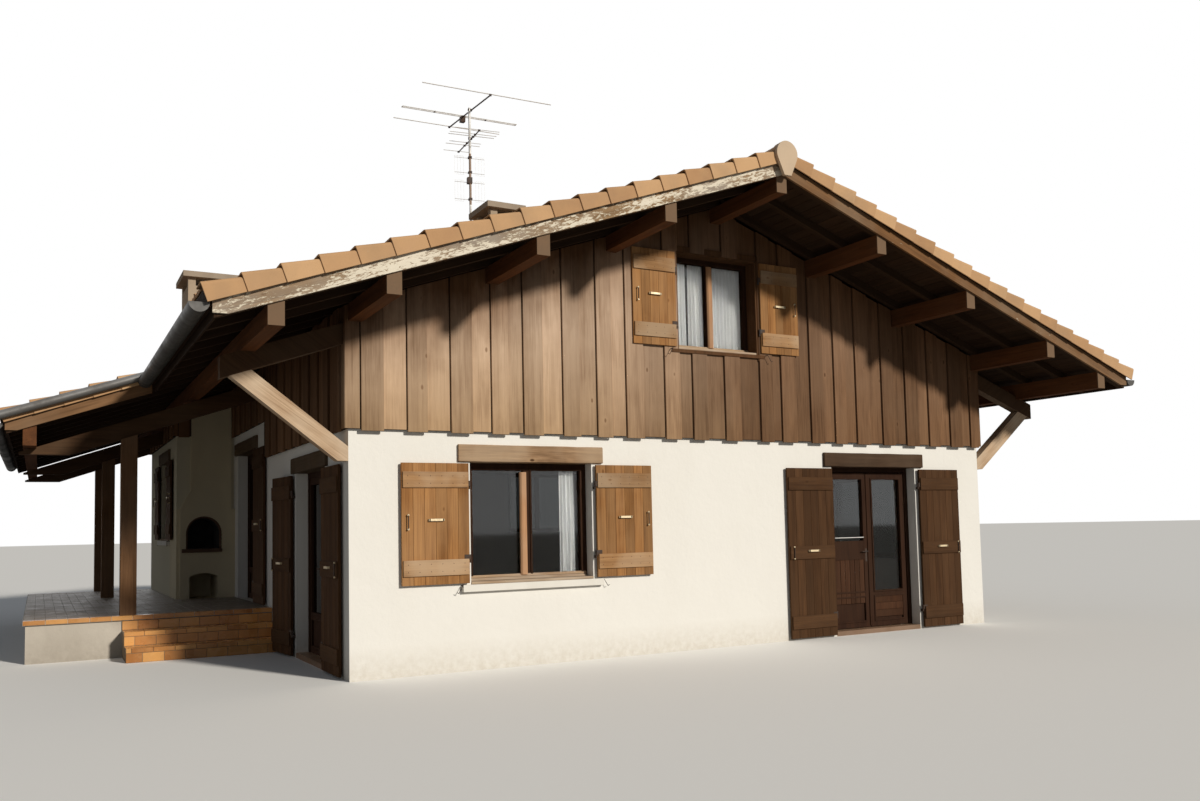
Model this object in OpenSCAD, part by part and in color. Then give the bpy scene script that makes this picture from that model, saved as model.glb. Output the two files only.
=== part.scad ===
/* [House] */
// Width of the house across its front, outside the walls
house_w = 9400; // [9000:10:11000]
// Depth of the house from front wall to back wall, outside the walls
house_d = 11000; // [10600:10:12500]
// Thickness of the masonry walls
wall_t = 300; // [240:10:340]
// Height of the masonry at the front, up to the boards
storey_h = 2600; // [2580:10:2700]
// Thickness of the ground floor slab in the front rooms
slab_t = 60; // [40:5:90]
// Height by which the back rooms, their walls and the porch are raised
split_h = 520; // [480:10:560]
// Distance from the front wall to the step up in the side walls
split_y = 4230; // [4180:10:4260]
// Thickness of the upper floor
upper_floor_t = 200; // [150:10:260]

/* [Timber walls] */
// How far the boarding stands out from the masonry below it
clad_out = 45; // [25:5:60]
// Thickness of the boarded timber wall
timber_wall_t = 250; // [200:10:280]

/* [Roof] */
// Pitch of both roof slopes, in degrees
pitch = 19.4; // [18:0.1:21]
// Height of the rafters' underside at the ridge above the masonry
ridge_rise = 2957; // [2900:5:3100]
// Roof overhang beyond the side walls
eave_out = 1550; // [1450:10:1600]
// Overhang of the bargeboards in front of the front wall
front_out = 1420; // [1200:10:1500]
// Overhang of the bargeboards behind the back wall
back_out = 1000; // [800:10:1200]
// Height of the rafters, measured plumb
rafter_h = 100; // [80:5:140]
// Width of a rafter
rafter_w = 80; // [60:5:100]
// Widest spacing of the rafters
rafter_pitch = 620; // [500:10:800]
// Thickness of the roof covering above the rafters, measured plumb
cover_t = 200; // [150:10:240]
// Width of the raised row of verge tiles
verge_w = 220; // [180:10:300]
// Height of the verge tiles above the covering
verge_rise = 40; // [20:5:60]
// How far the verge tiles reach past the bargeboard
verge_out = 50; // [30:5:80]
// Height of the bargeboards, measured plumb
barge_h = 155; // [130:5:200]
// Thickness of the bargeboards
barge_t = 30; // [20:5:45]

/* [Purlins] */
// Width of a purlin
purlin_w = 145; // [120:5:180]
// Height of a purlin at its middle
purlin_h = 205; // [180:5:240]
// Spacing of the purlins from the ridge outwards
purlin_step = 1545; // [1450:5:1545]
// Distance of the outer purlin from the side wall
outer_purlin_x = 1000; // [1000:5:1200]

/* [Corner brackets] */
// Height of an outrigger beam, measured plumb
outrigger_h = 220; // [180:5:260]
// Width of the outriggers and their struts
outrigger_w = 130; // [100:5:160]
// Length of an outrigger beyond the side wall
outrigger_out = 1260; // [1200:10:1400]
// Distance from the top of the masonry down to a strut's foot
strut_foot_drop = 335; // [300:5:340]
// Height of a strut's plumb end cut on the wall
strut_cut = 150; // [120:5:180]
// Reach of a strut's upper end from the side wall
strut_reach = 1170; // [1100:10:1200]

/* [Porch] */
// How far the porch roof reaches beyond the side wall
porch_out = 3180; // [3120:10:3350]
// Distance from the front wall to the porch roof's bargeboard
porch_front = 3550; // [3450:10:3600]
// Distance of the porch purlin from the side wall
porch_purlin_x = 2900; // [2800:10:2950]
// Length of the porch beams beyond the side wall
porch_beam_out = 3020; // [2990:5:3060]
// Height of a porch beam, measured plumb
porch_beam_h = 220; // [200:5:260]
// Width of a porch beam
porch_beam_w = 140; // [120:5:160]
// Distance from the front wall to the middle of the first porch beam
porch_beam_y = 4050; // [4020:5:4080]
// Side of a square porch post
post_w = 190; // [160:5:220]
// Distance of the posts' middle from the side wall
post_x = 1775; // [1700:5:1900]
// Reach of the porch floor beyond the side wall
porch_floor_out = 2950; // [2850:10:3050]
// Number of risers up to the porch floor
risers = 3; // [3:1:3]
// Depth of a tread
tread = 335; // [320:5:340]
// Reach of the steps beyond the side wall
steps_out = 1850; // [1700:10:1950]
// Gap between the steps and the edge of the swinging side shutter
step_clear = 8; // [6:1:12]
// Thickness of the coping along the terrace edge
coping_t = 50; // [40:5:60]
// How far the coping stands out from the terrace wall
coping_out = 30; // [20:5:40]

/* [Annex and oven] */
// Reach of the annex beyond the side wall
annex_out = 880; // [820:10:900]
// Distance from the front wall to the annex front
annex_y = 6940; // [6900:10:7000]
// How far the oven front stands proud of the annex
oven_proud = 50; // [40:5:70]
// Width of the oven front
oven_w = 830; // [800:5:850]
// Depth of the oven body
oven_d = 900; // [850:10:940]
// Height of the oven body above the porch floor
oven_h = 1430; // [1400:10:1500]
// Width of the flue breast above the oven
flue_w = 610; // [580:10:640]
// Distance of the flue breast from the side wall
flue_gap = 60; // [55:5:70]
// Height of the sloped shoulder between oven and flue
shoulder_h = 300; // [250:10:350]
// Middle of the oven mouth from the side wall
mouth_x = 475; // [460:5:490]
// Width of the oven mouth
mouth_w = 530; // [500:5:560]
// Height of the oven mouth's straight sides
mouth_side_h = 255; // [220:5:280]
// Sill of the oven mouth above the porch floor
mouth_z = 790; // [760:5:820]
// Depth of the oven mouth
mouth_d = 800; // [700:10:820]
// Width of the wood niche under the oven
niche_w = 430; // [400:5:460]
// Height of the wood niche's straight sides
niche_side_h = 350; // [320:5:370]
// Rise of the wood niche's flat arch
niche_rise = 60; // [50:5:70]
// Thickness of the hearth ledge under the oven mouth
ledge_t = 45; // [35:5:50]
// How far the hearth ledge stands out
ledge_out = 60; // [40:5:80]

/* [Openings] */
// Width of the window openings on the ground floor
window_w = 1520; // [1450:5:1560]
// Sill height of the ground floor windows above their floor level
window_z = 930; // [900:5:950]
// Distance from the top of the masonry down to the heads of the openings
head_drop = 330; // [310:5:335]
// Distance of the front window from the left corner
window_x = 1340; // [1320:5:1400]
// Width of the front door opening
door_w = 1550; // [1500:5:1600]
// Distance of the front door opening from the left corner
door_x = 6550; // [6500:5:6600]
// Width of the side door opening
side_door_w = 1470; // [1440:5:1480]
// Distance of the side door opening from the front corner
side_door_y = 980; // [970:5:990]
// Width of the porch door opening
porch_door_w = 1560; // [1540:5:1570]
// Distance of the porch door opening from the front corner
porch_door_y = 5060; // [5050:5:5080]
// Width of the gable window openings
gable_window_w = 1240; // [1200:5:1260]
// Sill height of the front gable window above the masonry
gable_sill_rise = 1100; // [1080:5:1120]
// Height of the gable windows
gable_window_h = 1230; // [1180:5:1240]
// Width of the annex window opening
annex_window_w = 1200; // [1150:5:1220]
// Distance of the annex window from the annex front
annex_window_y = 1000; // [980:5:1050]
// Distance of the front right wall window from the front corner
right_window_y1 = 1400; // [1350:10:1450]
// Distance of the rear right wall window from the front corner
right_window_y2 = 6600; // [6500:10:6700]
// Distance of each back window from its corner
back_window_x = 1340; // [1300:10:1400]
// Bearing of a timber lintel in the masonry each side
lintel_bearing = 140; // [130:5:150]
// Height of a timber lintel
lintel_h = 190; // [170:5:200]
// How far a lintel stands out of the wall
lintel_out = 38; // [25:1:40]
// Thickness of a window sill
sill_t = 75; // [60:5:80]
// How far a sill reaches past the opening each side
sill_ear = 110; // [100:5:120]
// How far a sill stands out of the wall
sill_out = 60; // [40:5:70]

/* [Frames] */
// Distance from the wall face to the frames
frame_set = 150; // [140:5:155]
// Depth of the window and door frames
frame_d = 70; // [60:5:75]
// Width of a frame bar
frame_bar = 80; // [70:5:90]
// Width of the middle bar
mullion = 100; // [90:5:110]
// Thickness of the glass
glass_t = 12; // [8:1:16]
// Width of the fixed door frame
door_frame = 60; // [50:5:70]
// Thickness of a door leaf
leaf_t = 55; // [45:5:60]
// Width of a door leaf's stiles
stile = 90; // [80:5:100]
// Running gap round a door leaf
leaf_gap = 10; // [9:0.5:12]
// Height of the solid panel in a door leaf
leaf_panel_h = 450; // [400:10:500]

/* [Shutters] */
// Thickness of a shutter's boards
shutter_t = 30; // [25:1:34]
// Thickness of a shutter's battens
batten_t = 18; // [12:1:18]
// Height of a shutter's battens
batten_h = 170; // [150:5:190]
// Gap between an open shutter and the wall
shutter_gap = 25; // [24:1:30]
// Distance of the hinge axis outside the opening
hinge_side = 20; // [18:1:24]
// Gap between the two closed shutters
shutter_meet = 12; // [10:1:16]
// Gap between a shutter and the hinge axis
shutter_edge = 14; // [14:1:18]
// Gap above and below a shutter in its opening
shutter_clear = 25; // [20:1:30]
// Radius of the hinge knuckles
knuckle_r = 11; // [8:1:12]
// Length of a hinge knuckle
knuckle_h = 60; // [40:5:80]
// Seat gap under a hinge knuckle
knuckle_gap = 0.3; // [0.2:0.1:0.5]
// Angle at which the far side shutter stands off the wall
ajar = 6; // [4:1:8]

/* [Chimneys and aerial] */
// Height of the oven chimney cap's top above the rafters at the ridge
oven_cap_up = 283; // [203:10:343]
// Width of the oven chimney cap
oven_cap_w = 890; // [850:10:920]
// Depth of the oven chimney cap
oven_cap_d = 1000; // [950:10:1040]
// Middle of the oven chimney from the side wall
oven_chimney_x = 345; // [335:5:355]
// Distance from the front wall to the oven cap's front edge
oven_chimney_y = 7000; // [6950:10:7050]
// Height of the ridge chimney cap's top above the rafters at the ridge
ridge_cap_up = 1123; // [1043:10:1193]
// Width of the ridge chimney cap
ridge_cap_w = 660; // [640:10:700]
// Depth of the ridge chimney cap
ridge_cap_d = 800; // [760:10:840]
// Middle of the ridge chimney left of the ridge
ridge_chimney_x = 1075; // [1050:5:1100]
// Distance from the front wall to the ridge cap's front edge
ridge_chimney_y = 4000; // [3950:10:4050]
// Thickness of the chimney caps
cap_t = 90; // [70:5:110]
// How far a cap reaches past its stack
cap_over = 85; // [70:5:100]
// Height of the brick piers that carry a cap
pier_h = 130; // [110:5:150]
// Side of a brick pier
pier_w = 115; // [100:5:120]
// Thickness of the walls of a chimney stack
flue_wall = 120; // [115:5:140]
// Radius of the aerial mast
mast_r = 20; // [15:1:25]
// Height of the mast's top above the rafters at the ridge
mast_up = 3203; // [3043:10:3243]
// Length of the mast
mast_len = 3000; // [2900:10:3050]

/* [Gutters and ridge] */
// Outer radius of the half-round gutters
gutter_r = 85; // [75:1:90]
// Thickness of the gutter metal
gutter_t = 5; // [3:0.5:6]
// Outer radius of the pipe that links the gutters
pipe_r = 52; // [45:1:55]
// Radius of the half-round ridge tiles
ridge_r = 135; // [130:1:145]
// Thickness of the ridge end tiles
ridge_end_t = 40; // [30:5:50]

/* [Hidden] */
$fn = 48;

eps = 1;
seat = 0.02;
ridge_under = storey_h + ridge_rise;
strut_foot_z = storey_h - strut_foot_drop;
head_z = storey_h - head_drop;
gable_window_z = storey_h + gable_sill_rise;
oven_cap_z = ridge_under + oven_cap_up;
ridge_cap_z = ridge_under + ridge_cap_up;
mast_top = ridge_under + mast_up;
upper_boom_drop = 280;
lower_boom_drop = 760;
boom_turn = -5;
rear_beam_y = 8500;
floor_edge_t = 120;
panel_dip = 15;
leaf_knuckle_r = 8;
leaf_knuckle_h = 45;
leaf_plate_w = 32;
leaf_plate_t = 4;
ridge_mid = 220;
ridge_end_lip = 15;
ridge_foot = 100;
ridge_foot_drop = 35;
barge_nose = 45;
barge_inset = 20;
beam_nose = 25;
gutter_wall_gap = 4;
pipe_t = 4;
pipe_line = 230;
strut_head = 205;
strut_heel = 110;
flue_dip = 300;
clamp_w = 30;
clamp_h = 30;
clamp_reach = 120;
boom_w = 22;
rod_w = 10;
batten_inset = 12;
strap_t = 8;
pintle_h = 30;
slope = tan(pitch);
xl = -house_w / 2;
xr = house_w / 2;
yf = -house_d / 2;
yb = house_d / 2;
back_h = storey_h + split_h;
split = yf + split_y;
back_sill = window_z + split_h;
back_head = head_z + split_h;
x_annex = xl - annex_out;
y_annex = yf + annex_y;
y_oven = y_annex - oven_proud;
y_oven_back = y_annex + oven_d;
x_oven = xl - oven_w;
flue_l = xl - flue_gap - flue_w;
flue_r = xl - flue_gap;
flue_back = y_annex + 240;
porch_beam_top = -purlin_h - 30;
porch_purlin_h = purlin_h + 20;
verge_tip = 50;
fascia_t = 25;
eave_inset = 60;
ridge_split = 10;
verge_front = yf - front_out;
verge_back = yb + back_out;
porch_verge = yf + porch_front;
cover_bottom = rafter_h;
cover_top = rafter_h + cover_t;
seat_drop = purlin_w / 2 * slope;
beam_top = -purlin_h + seat_drop;
x_eave_l = xl - eave_out;
x_eave_r = xr + eave_out;
x_porch = xl - porch_out;
hinge_y = -(shutter_gap + shutter_t / 2);
door_h = head_z - slab_t;
side_shutter_w = half_leaf(side_door_w);
steps_y = side_door_y + side_door_w + hinge_side + shutter_edge + side_shutter_w + step_clear;
porch_floor_y = steps_y + (risers - 1) * tread;
gable_window_x = (house_w - gable_window_w) / 2;
back_gable_z = gable_window_z;
gable_frame_set = 125;
gable_set = frame_set - gable_frame_set;
annex_window_far = annex_y + annex_window_y + annex_window_w;

// Height of a line parallel to the roof: k is measured plumb from the rafters' underside
function roof_z(x, k = 0) = ridge_under - slope * abs(x) + k;

module box3(x0, x1, y0, y1, z0, z1) {
    translate([x0, y0, z0]) cube([x1 - x0, y1 - y0, z1 - z0]);
}

// An outline in X and Z, drawn out from y0 to y1
module along_y(y0, y1) {
    translate([0, y1, 0]) rotate([90, 0, 0]) linear_extrude(y1 - y0) children();
}

// An outline in Y and Z, drawn out from x0 to x1
module along_x(x0, x1) {
    translate([x0, 0, 0]) rotate([90, 0, 90]) linear_extrude(x1 - x0) children();
}

// A band parallel to one roof slope between two plumb heights
module slope_band(x0, x1, k0, k1) {
    polygon([[x0, roof_z(x0, k0)], [x1, roof_z(x1, k0)], [x1, roof_z(x1, k1)], [x0, roof_z(x0, k1)]]);
}

// The four walls share one frame: x runs along the wall, y goes into the wall, z is up
module on_front(s, z = 0) { translate([xl + s, yf, z]) children(); }
module on_right(s, z = 0) { translate([xr, yf + s, z]) rotate(90) children(); }
module on_left(s, z = 0) { translate([xl, yf + s, z]) rotate(-90) children(); }
module on_back(s, z = 0) { translate([xr - s, yb, z]) rotate(180) children(); }
module on_annex(s, z = 0) { translate([x_annex, yf + s, z]) rotate(-90) children(); }

// Places of the masonry windows, each with its width
module at_masonry_windows() {
    on_front(window_x, window_z) children();
    on_right(right_window_y1, window_z) children();
    on_right(right_window_y2, back_sill) children();
    on_back(back_window_x, back_sill) children();
    on_back(house_w - back_window_x - window_w, back_sill) children();
}

// Openings, pockets and their furniture
module lintel_body(w, grow = 0) {
    box3(-lintel_bearing, w + lintel_bearing, grow == 0 ? -lintel_out : -grow, wall_t + grow, 0, lintel_h);
}

module window_hole(w, h) {
    box3(0, w, -eps, wall_t + eps, 0, h);
    translate([0, 0, h]) lintel_body(w, eps);
    translate([0, 0, -sill_t]) box3(0, w, -eps, frame_set, 0, sill_t);
}

module sill_body(w) {
    box3(0, w, 0, frame_set, -sill_t, 0);
    box3(-sill_ear, w + sill_ear, -sill_out, 0, -sill_t, 0);
}

module frame_body(w, h) {
    light = (w - 2 * frame_bar - mullion) / 2;
    difference() {
        box3(0, w, frame_set, frame_set + frame_d, 0, h);
        for (i = [0, 1])
            translate([frame_bar + i * (light + mullion), 0, frame_bar])
                box3(0, light, frame_set - eps, frame_set + frame_d + eps, 0, h - 2 * frame_bar);
    }
}

module glass_body(w, h) {
    light = (w - 2 * frame_bar - mullion) / 2;
    for (i = [0, 1])
        translate([frame_bar + i * (light + mullion), 0, frame_bar])
            box3(0, light, frame_set + (frame_d - glass_t) / 2, frame_set + (frame_d + glass_t) / 2,
                 0, h - 2 * frame_bar);
}

// Masonry
module floor_slab() {
    color("gray") {
        union() {
            union() {
                box3(xl + wall_t, xr - wall_t, yf + wall_t, split, 0, slab_t);
                box3(xl + wall_t, xr - wall_t, split, yb - wall_t, 0, split_h);
                box3(x_annex + wall_t, xl + wall_t, y_oven_back, yb - wall_t, 0, split_h);
                box3(xl, xl + wall_t, y_annex + wall_t, y_oven_back, 0, split_h);
                on_front(door_x) box3(0, door_w, 0, wall_t, 0, slab_t);
                on_left(side_door_y + side_door_w) box3(0, side_door_w, 0, wall_t, 0, slab_t);
            }
        }
    }
}

module upper_floor() {
    color("burlywood") {
        box3(xl + wall_t, xr - wall_t, yf + wall_t, split, storey_h - upper_floor_t, storey_h);
        along_x(xl + wall_t, xr - wall_t)
            polygon([[split, storey_h - upper_floor_t], [split + floor_edge_t, storey_h - upper_floor_t],
                     [split + floor_edge_t, back_h - upper_floor_t], [yb - wall_t, back_h - upper_floor_t],
                     [yb - wall_t, back_h], [split, back_h]]);
        box3(x_annex + wall_t, xl + wall_t, y_annex + wall_t, yb - wall_t, back_h - upper_floor_t, back_h);
    }
}

module front_wall() {
    color("ivory") difference() {
        box3(xl, xr, yf, yf + wall_t, 0, storey_h);
        on_front(window_x, window_z) window_hole(window_w, head_z - window_z);
        on_front(door_x) box3(0, door_w, -eps, wall_t + eps, -eps, storey_h + eps);
        on_front(door_x, head_z) lintel_body(door_w, eps);
    }
}

module left_wall() {
    y_end = y_annex + wall_t;
    color("ivory") difference() {
        along_x(xl, xl + wall_t)
            polygon([[yf + wall_t, 0], [y_end, 0], [y_end, back_h], [split, back_h], [split, storey_h],
                     [yf + wall_t, storey_h]]);
        on_left(side_door_y + side_door_w) box3(0, side_door_w, -eps, wall_t + eps, -eps, storey_h + eps);
        on_left(side_door_y + side_door_w, head_z) lintel_body(side_door_w, eps);
        on_left(porch_door_y + porch_door_w, split_h)
            box3(0, porch_door_w, -eps, wall_t + eps, 0, head_z);
        on_left(porch_door_y + porch_door_w, split_h + head_z) lintel_body(porch_door_w, eps);
    }
}

module right_wall() {
    color("ivory") difference() {
        along_x(xr - wall_t, xr)
            polygon([[yf + wall_t, 0], [yb - wall_t, 0], [yb - wall_t, back_h], [split, back_h],
                     [split, storey_h], [yf + wall_t, storey_h]]);
        on_right(right_window_y1, window_z) window_hole(window_w, head_z - window_z);
        on_right(right_window_y2, back_sill) window_hole(window_w, head_z - window_z);
    }
}

module back_wall() {
    color("ivory") difference() {
        box3(x_annex, xr, yb - wall_t, yb, 0, back_h);
        on_back(back_window_x, back_sill) window_hole(window_w, head_z - window_z);
        on_back(house_w - back_window_x - window_w, back_sill) window_hole(window_w, head_z - window_z);
    }
}

module wall_heads() {
    color("ivory") {
        on_front(door_x) box3(0, door_w, 0, wall_t, head_z + lintel_h, storey_h);
        on_left(side_door_y + side_door_w) box3(0, side_door_w, 0, wall_t, head_z + lintel_h, storey_h);
    }
}

// The room that the flue takes up in the walls behind it
module flue_box(top) {
    box3(flue_l, flue_r, y_annex - clad_out - eps, flue_back, split_h + oven_h - eps, top);
}

module annex_wall() {
    color("ivory") difference() {
        union() {
            box3(x_annex, xl, y_annex, y_annex + wall_t, split_h + oven_h, back_h);
            box3(x_annex, x_annex + wall_t, y_annex + wall_t, y_oven_back, split_h + oven_h, back_h);
            box3(x_annex, x_annex + wall_t, y_oven_back, yb - wall_t, 0, back_h);
        }
        flue_box(back_h + eps);
        on_annex(annex_window_far, back_sill) window_hole(annex_window_w, head_z - window_z);
    }
}

module lintels() {
    color("sienna") {
        at_masonry_windows() translate([0, 0, head_z - window_z]) lintel_body(window_w);
        on_annex(annex_window_far, back_head) lintel_body(annex_window_w);
        on_front(door_x, head_z) lintel_body(door_w);
        on_left(side_door_y + side_door_w, head_z) lintel_body(side_door_w);
        on_left(porch_door_y + porch_door_w, split_h + head_z) lintel_body(porch_door_w);
    }
}

module window_sills() {
    color("white") {
        at_masonry_windows() sill_body(window_w);
        on_annex(annex_window_far, back_sill) sill_body(annex_window_w);
    }
}

// Timber
module purlin_outline(x, h = purlin_h) {
    half = purlin_w / 2;
    bottom = roof_z(x, -h);
    if (x == 0)
        polygon([[-half, bottom], [half, bottom], [half, roof_z(half)], [0, roof_z(0)], [-half, roof_z(half)]]);
    else
        polygon([[x - half, bottom], [x + half, bottom], [x + half, roof_z(x + half)],
                 [x - half, roof_z(x - half)]]);
}

PURLINS = [-3 * purlin_step, -2 * purlin_step, -purlin_step, 0, purlin_step, 2 * purlin_step,
           3 * purlin_step];
OUTER_PURLINS = [xl - outer_purlin_x, xr + outer_purlin_x];
porch_purlin = xl - porch_purlin_x;

module purlin_set() {
    for (x = concat(PURLINS, OUTER_PURLINS))
        along_y(verge_front + barge_t, verge_back - barge_t) purlin_outline(x);
    along_y(porch_verge + barge_t, verge_back - barge_t) purlin_outline(porch_purlin, porch_purlin_h);
}

module purlins() {
    color("peru") purlin_set();
}

module gable_outline(base) {
    polygon([[xl - clad_out, base], [xr + clad_out, base], [xr + clad_out, roof_z(xr + clad_out)],
             [0, roof_z(0)], [xl - clad_out, roof_z(xl - clad_out)]]);
}

module front_gable() {
    color("saddlebrown") difference() {
        along_y(yf - clad_out, yf - clad_out + timber_wall_t) gable_outline(storey_h);
        on_front(gable_window_x, gable_window_z)
            box3(0, gable_window_w, -wall_t, wall_t, 0, gable_window_h);
        purlin_set();
    }
}

module back_gable() {
    color("saddlebrown") difference() {
        along_y(yb + clad_out - timber_wall_t, yb + clad_out) gable_outline(back_h);
        on_back(gable_window_x, back_gable_z)
            box3(0, gable_window_w, -wall_t, wall_t, 0, gable_window_h);
        purlin_set();
    }
}

// Upper side wall along the left; the right one is its mirror image
module side_upper_wall(y_back, x_out) {
    y_start = yf - clad_out + timber_wall_t;
    x0 = x_out - clad_out;
    difference() {
        along_y(y_start, y_back) slope_wall(x0, storey_h);
        translate([x0 - eps, split, storey_h - eps])
            cube([timber_wall_t + 2 * eps, y_back - split + eps, split_h + eps]);
        purlin_set();
    }
}

module slope_wall(x0, base) {
    polygon([[x0, base], [x0 + timber_wall_t, base], [x0 + timber_wall_t, roof_z(x0 + timber_wall_t)],
             [x0, roof_z(x0)]]);
}

module left_upper_wall() {
    color("saddlebrown") side_upper_wall(y_annex - clad_out, xl);
}

module right_upper_wall() {
    color("saddlebrown") mirror([1, 0, 0]) side_upper_wall(yb + clad_out - timber_wall_t, xl);
}

module annex_upper_wall() {
    y0 = y_annex - clad_out;
    color("saddlebrown") difference() {
        union() {
            along_y(y0 + timber_wall_t, yb + clad_out) slope_wall(x_annex - clad_out, back_h);
            along_y(y0, y0 + timber_wall_t)
                polygon([[x_annex - clad_out, back_h], [xl - clad_out + timber_wall_t, back_h],
                         [xl - clad_out + timber_wall_t, roof_z(xl - clad_out + timber_wall_t)],
                         [x_annex - clad_out, roof_z(x_annex - clad_out)]]);
            along_y(yb + clad_out - timber_wall_t, yb + clad_out)
                polygon([[x_annex - clad_out, back_h], [xl - clad_out, back_h],
                         [xl - clad_out, roof_z(xl - clad_out)],
                         [x_annex - clad_out, roof_z(x_annex - clad_out)]]);
        }
        purlin_set();
        flue_box(roof_z(xl));
    }
}

// Roof
rafter_y0 = verge_front + barge_t + rafter_w / 2;
rafter_y1 = verge_back - barge_t - rafter_w / 2;
rafter_n = ceil((rafter_y1 - rafter_y0) / rafter_pitch);
function rafter_at(i) = rafter_y0 + (rafter_y1 - rafter_y0) * i / rafter_n;

module left_rafters() {
    color("tan") for (i = [0 : rafter_n]) {
        y = rafter_at(i);
        long = y > porch_verge + barge_t + rafter_w / 2;
        x0 = (long ? x_porch : x_eave_l) + eave_inset;
        along_y(y - rafter_w / 2, y + rafter_w / 2) slope_band(x0, -ridge_split, seat, rafter_h - seat);
    }
    color("tan") along_y(porch_verge + barge_t, porch_verge + barge_t + rafter_w)
        slope_band(x_porch + eave_inset, x_eave_l, seat, rafter_h - seat);
}

module right_rafters() {
    color("tan") for (i = [0 : rafter_n])
        along_y(rafter_at(i) - rafter_w / 2, rafter_at(i) + rafter_w / 2)
            slope_band(ridge_split, x_eave_r - eave_inset, seat, rafter_h - seat);
}

// A roof covering with a raised row of verge tiles at both ends
module cover(x0, x1, y0, y1, front_tip, back_tip) {
    along_y(y0 + barge_t, y1 - barge_t) slope_band(x0, x1, cover_bottom, cover_top);
    along_y(y0 - verge_out, y0 + verge_w) slope_band(x0 - front_tip, x1, barge_h, cover_top + verge_rise);
    along_y(y1 - verge_w, y1 + verge_out) slope_band(x0 - back_tip, x1, barge_h, cover_top + verge_rise);
}

module left_roof() {
    color("peru") cover(x_eave_l, 0, verge_front, verge_back, verge_tip, 0);
}

module right_roof() {
    color("peru") mirror([1, 0, 0]) cover(x_eave_l, 0, verge_front, verge_back, verge_tip, verge_tip);
}

module porch_roof() {
    color("peru") cover(x_porch, x_eave_l, porch_verge, verge_back, verge_tip, verge_tip);
}

module ridge_tiles() {
    color("peru") {
        ridge_length(verge_front - verge_out, verge_front + verge_w, cover_top + verge_rise);
        ridge_length(verge_front + verge_w, verge_back - verge_w, cover_top);
        ridge_length(verge_back - verge_w, verge_back + verge_out, cover_top + verge_rise);
    }
}

// A length of the ridge tiles' crown above a covering of height k
module ridge_length(y0, y1, k) {
    along_y(y0, y1) difference() {
        translate([0, roof_z(0, ridge_mid)]) circle(ridge_r);
        polygon([[-2 * ridge_r, 0], [2 * ridge_r, 0], [2 * ridge_r, roof_z(2 * ridge_r, k + seat)],
                 [0, roof_z(0, k + seat)], [-2 * ridge_r, roof_z(2 * ridge_r, k + seat)]]);
    }
}

// Shield-shaped tile that closes the ridge at each gable
module ridge_end_outline() {
    hull() {
        translate([0, roof_z(0, ridge_mid)]) circle(ridge_r + ridge_end_lip, $fn = 32);
        translate([-ridge_foot / 2, roof_z(0, -ridge_foot_drop)]) square([ridge_foot, 10]);
    }
}

module ridge_ends() {
    color("wheat") {
        along_y(verge_front - verge_out - ridge_end_t, verge_front - verge_out) ridge_end_outline();
        along_y(verge_back + verge_out, verge_back + verge_out + ridge_end_t) ridge_end_outline();
    }
}

module barge_outline(x_end) {
    level = roof_z(x_end, 0) + barge_nose;
    polygon([[x_end, level], [x_end + (level - roof_z(x_end, 0)) / slope, level], [0, roof_z(0)],
             [0, roof_z(0, barge_h)], [x_end, roof_z(x_end, barge_h)]]);
}

module bargeboards() {
    color("tan") {
        for (y = [verge_front, verge_back - barge_t]) {
            along_y(y, y + barge_t) union() {
                barge_outline((y == verge_front ? x_eave_l : x_porch) + barge_inset);
                mirror([1, 0]) barge_outline(x_eave_l + barge_inset);
            }
        }
    }
}

module porch_bargeboard() {
    level = roof_z(x_porch + barge_inset, 0) + barge_nose;
    x_end = x_porch + barge_inset;
    color("tan") along_y(porch_verge, porch_verge + barge_t)
        polygon([[x_end, level], [x_end + (level - roof_z(x_end, 0)) / slope, level],
                 [x_eave_l, roof_z(x_eave_l)], [x_eave_l, roof_z(x_eave_l, barge_h)],
                 [x_end, roof_z(x_end, barge_h)]]);
}

// Half-round gutter under an eave
module gutter(x, z, y0, y1) {
    translate([x, 0, z]) difference() {
        along_y(y0, y1) circle(gutter_r);
        along_y(y0 + gutter_t, y1 - gutter_t) circle(gutter_r - gutter_t);
        box3(-2 * gutter_r, 2 * gutter_r, y0 - eps, y1 + eps, 0, 2 * gutter_r);
    }
}

function gutter_x(x_eave) = x_eave - gutter_r;
function gutter_z(x_eave) = roof_z(x_eave - verge_tip, barge_h) - gutter_wall_gap;

module gutters() {
    color("dimgray") {
        gutter(gutter_x(x_eave_l), gutter_z(x_eave_l), verge_front, porch_verge - verge_out);
        mirror([1, 0, 0]) gutter(gutter_x(x_eave_l), gutter_z(x_eave_l), verge_front, verge_back);
        gutter(gutter_x(x_porch), gutter_z(x_porch), porch_verge, verge_back);
    }
}

// Pipe that leads the water from the main gutter down along the porch verge
module verge_pipe() {
    x_top = gutter_x(x_eave_l);
    y_pipe = porch_verge - verge_out - pipe_r;
    length = (x_top - gutter_x(x_porch)) / cos(pitch);
    color("dimgray") difference() {
        translate([x_top, y_pipe, roof_z(x_top, pipe_line)]) rotate([0, -90 - pitch, 0]) difference() {
            cylinder(h = length, r = pipe_r);
            translate([0, 0, -eps]) cylinder(h = length + 2 * eps, r = pipe_r - pipe_t);
        }
        translate([x_top, 0, gutter_z(x_eave_l)]) along_y(verge_front, porch_verge) circle(gutter_r);
    }
}

// Boards that close the rafter ends
module fascias() {
    color("tan") {
        along_y(verge_front + barge_t, porch_verge + barge_t) fascia(x_eave_l);
        along_y(porch_verge + barge_t, verge_back - barge_t) fascia(x_porch);
        mirror([1, 0, 0]) along_y(verge_front + barge_t, verge_back - barge_t) fascia(x_eave_l);
    }
}

module fascia(x_eave) {
    slope_band(x_eave + eave_inset - fascia_t, x_eave + eave_inset, seat, rafter_h - seat);
}

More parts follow.
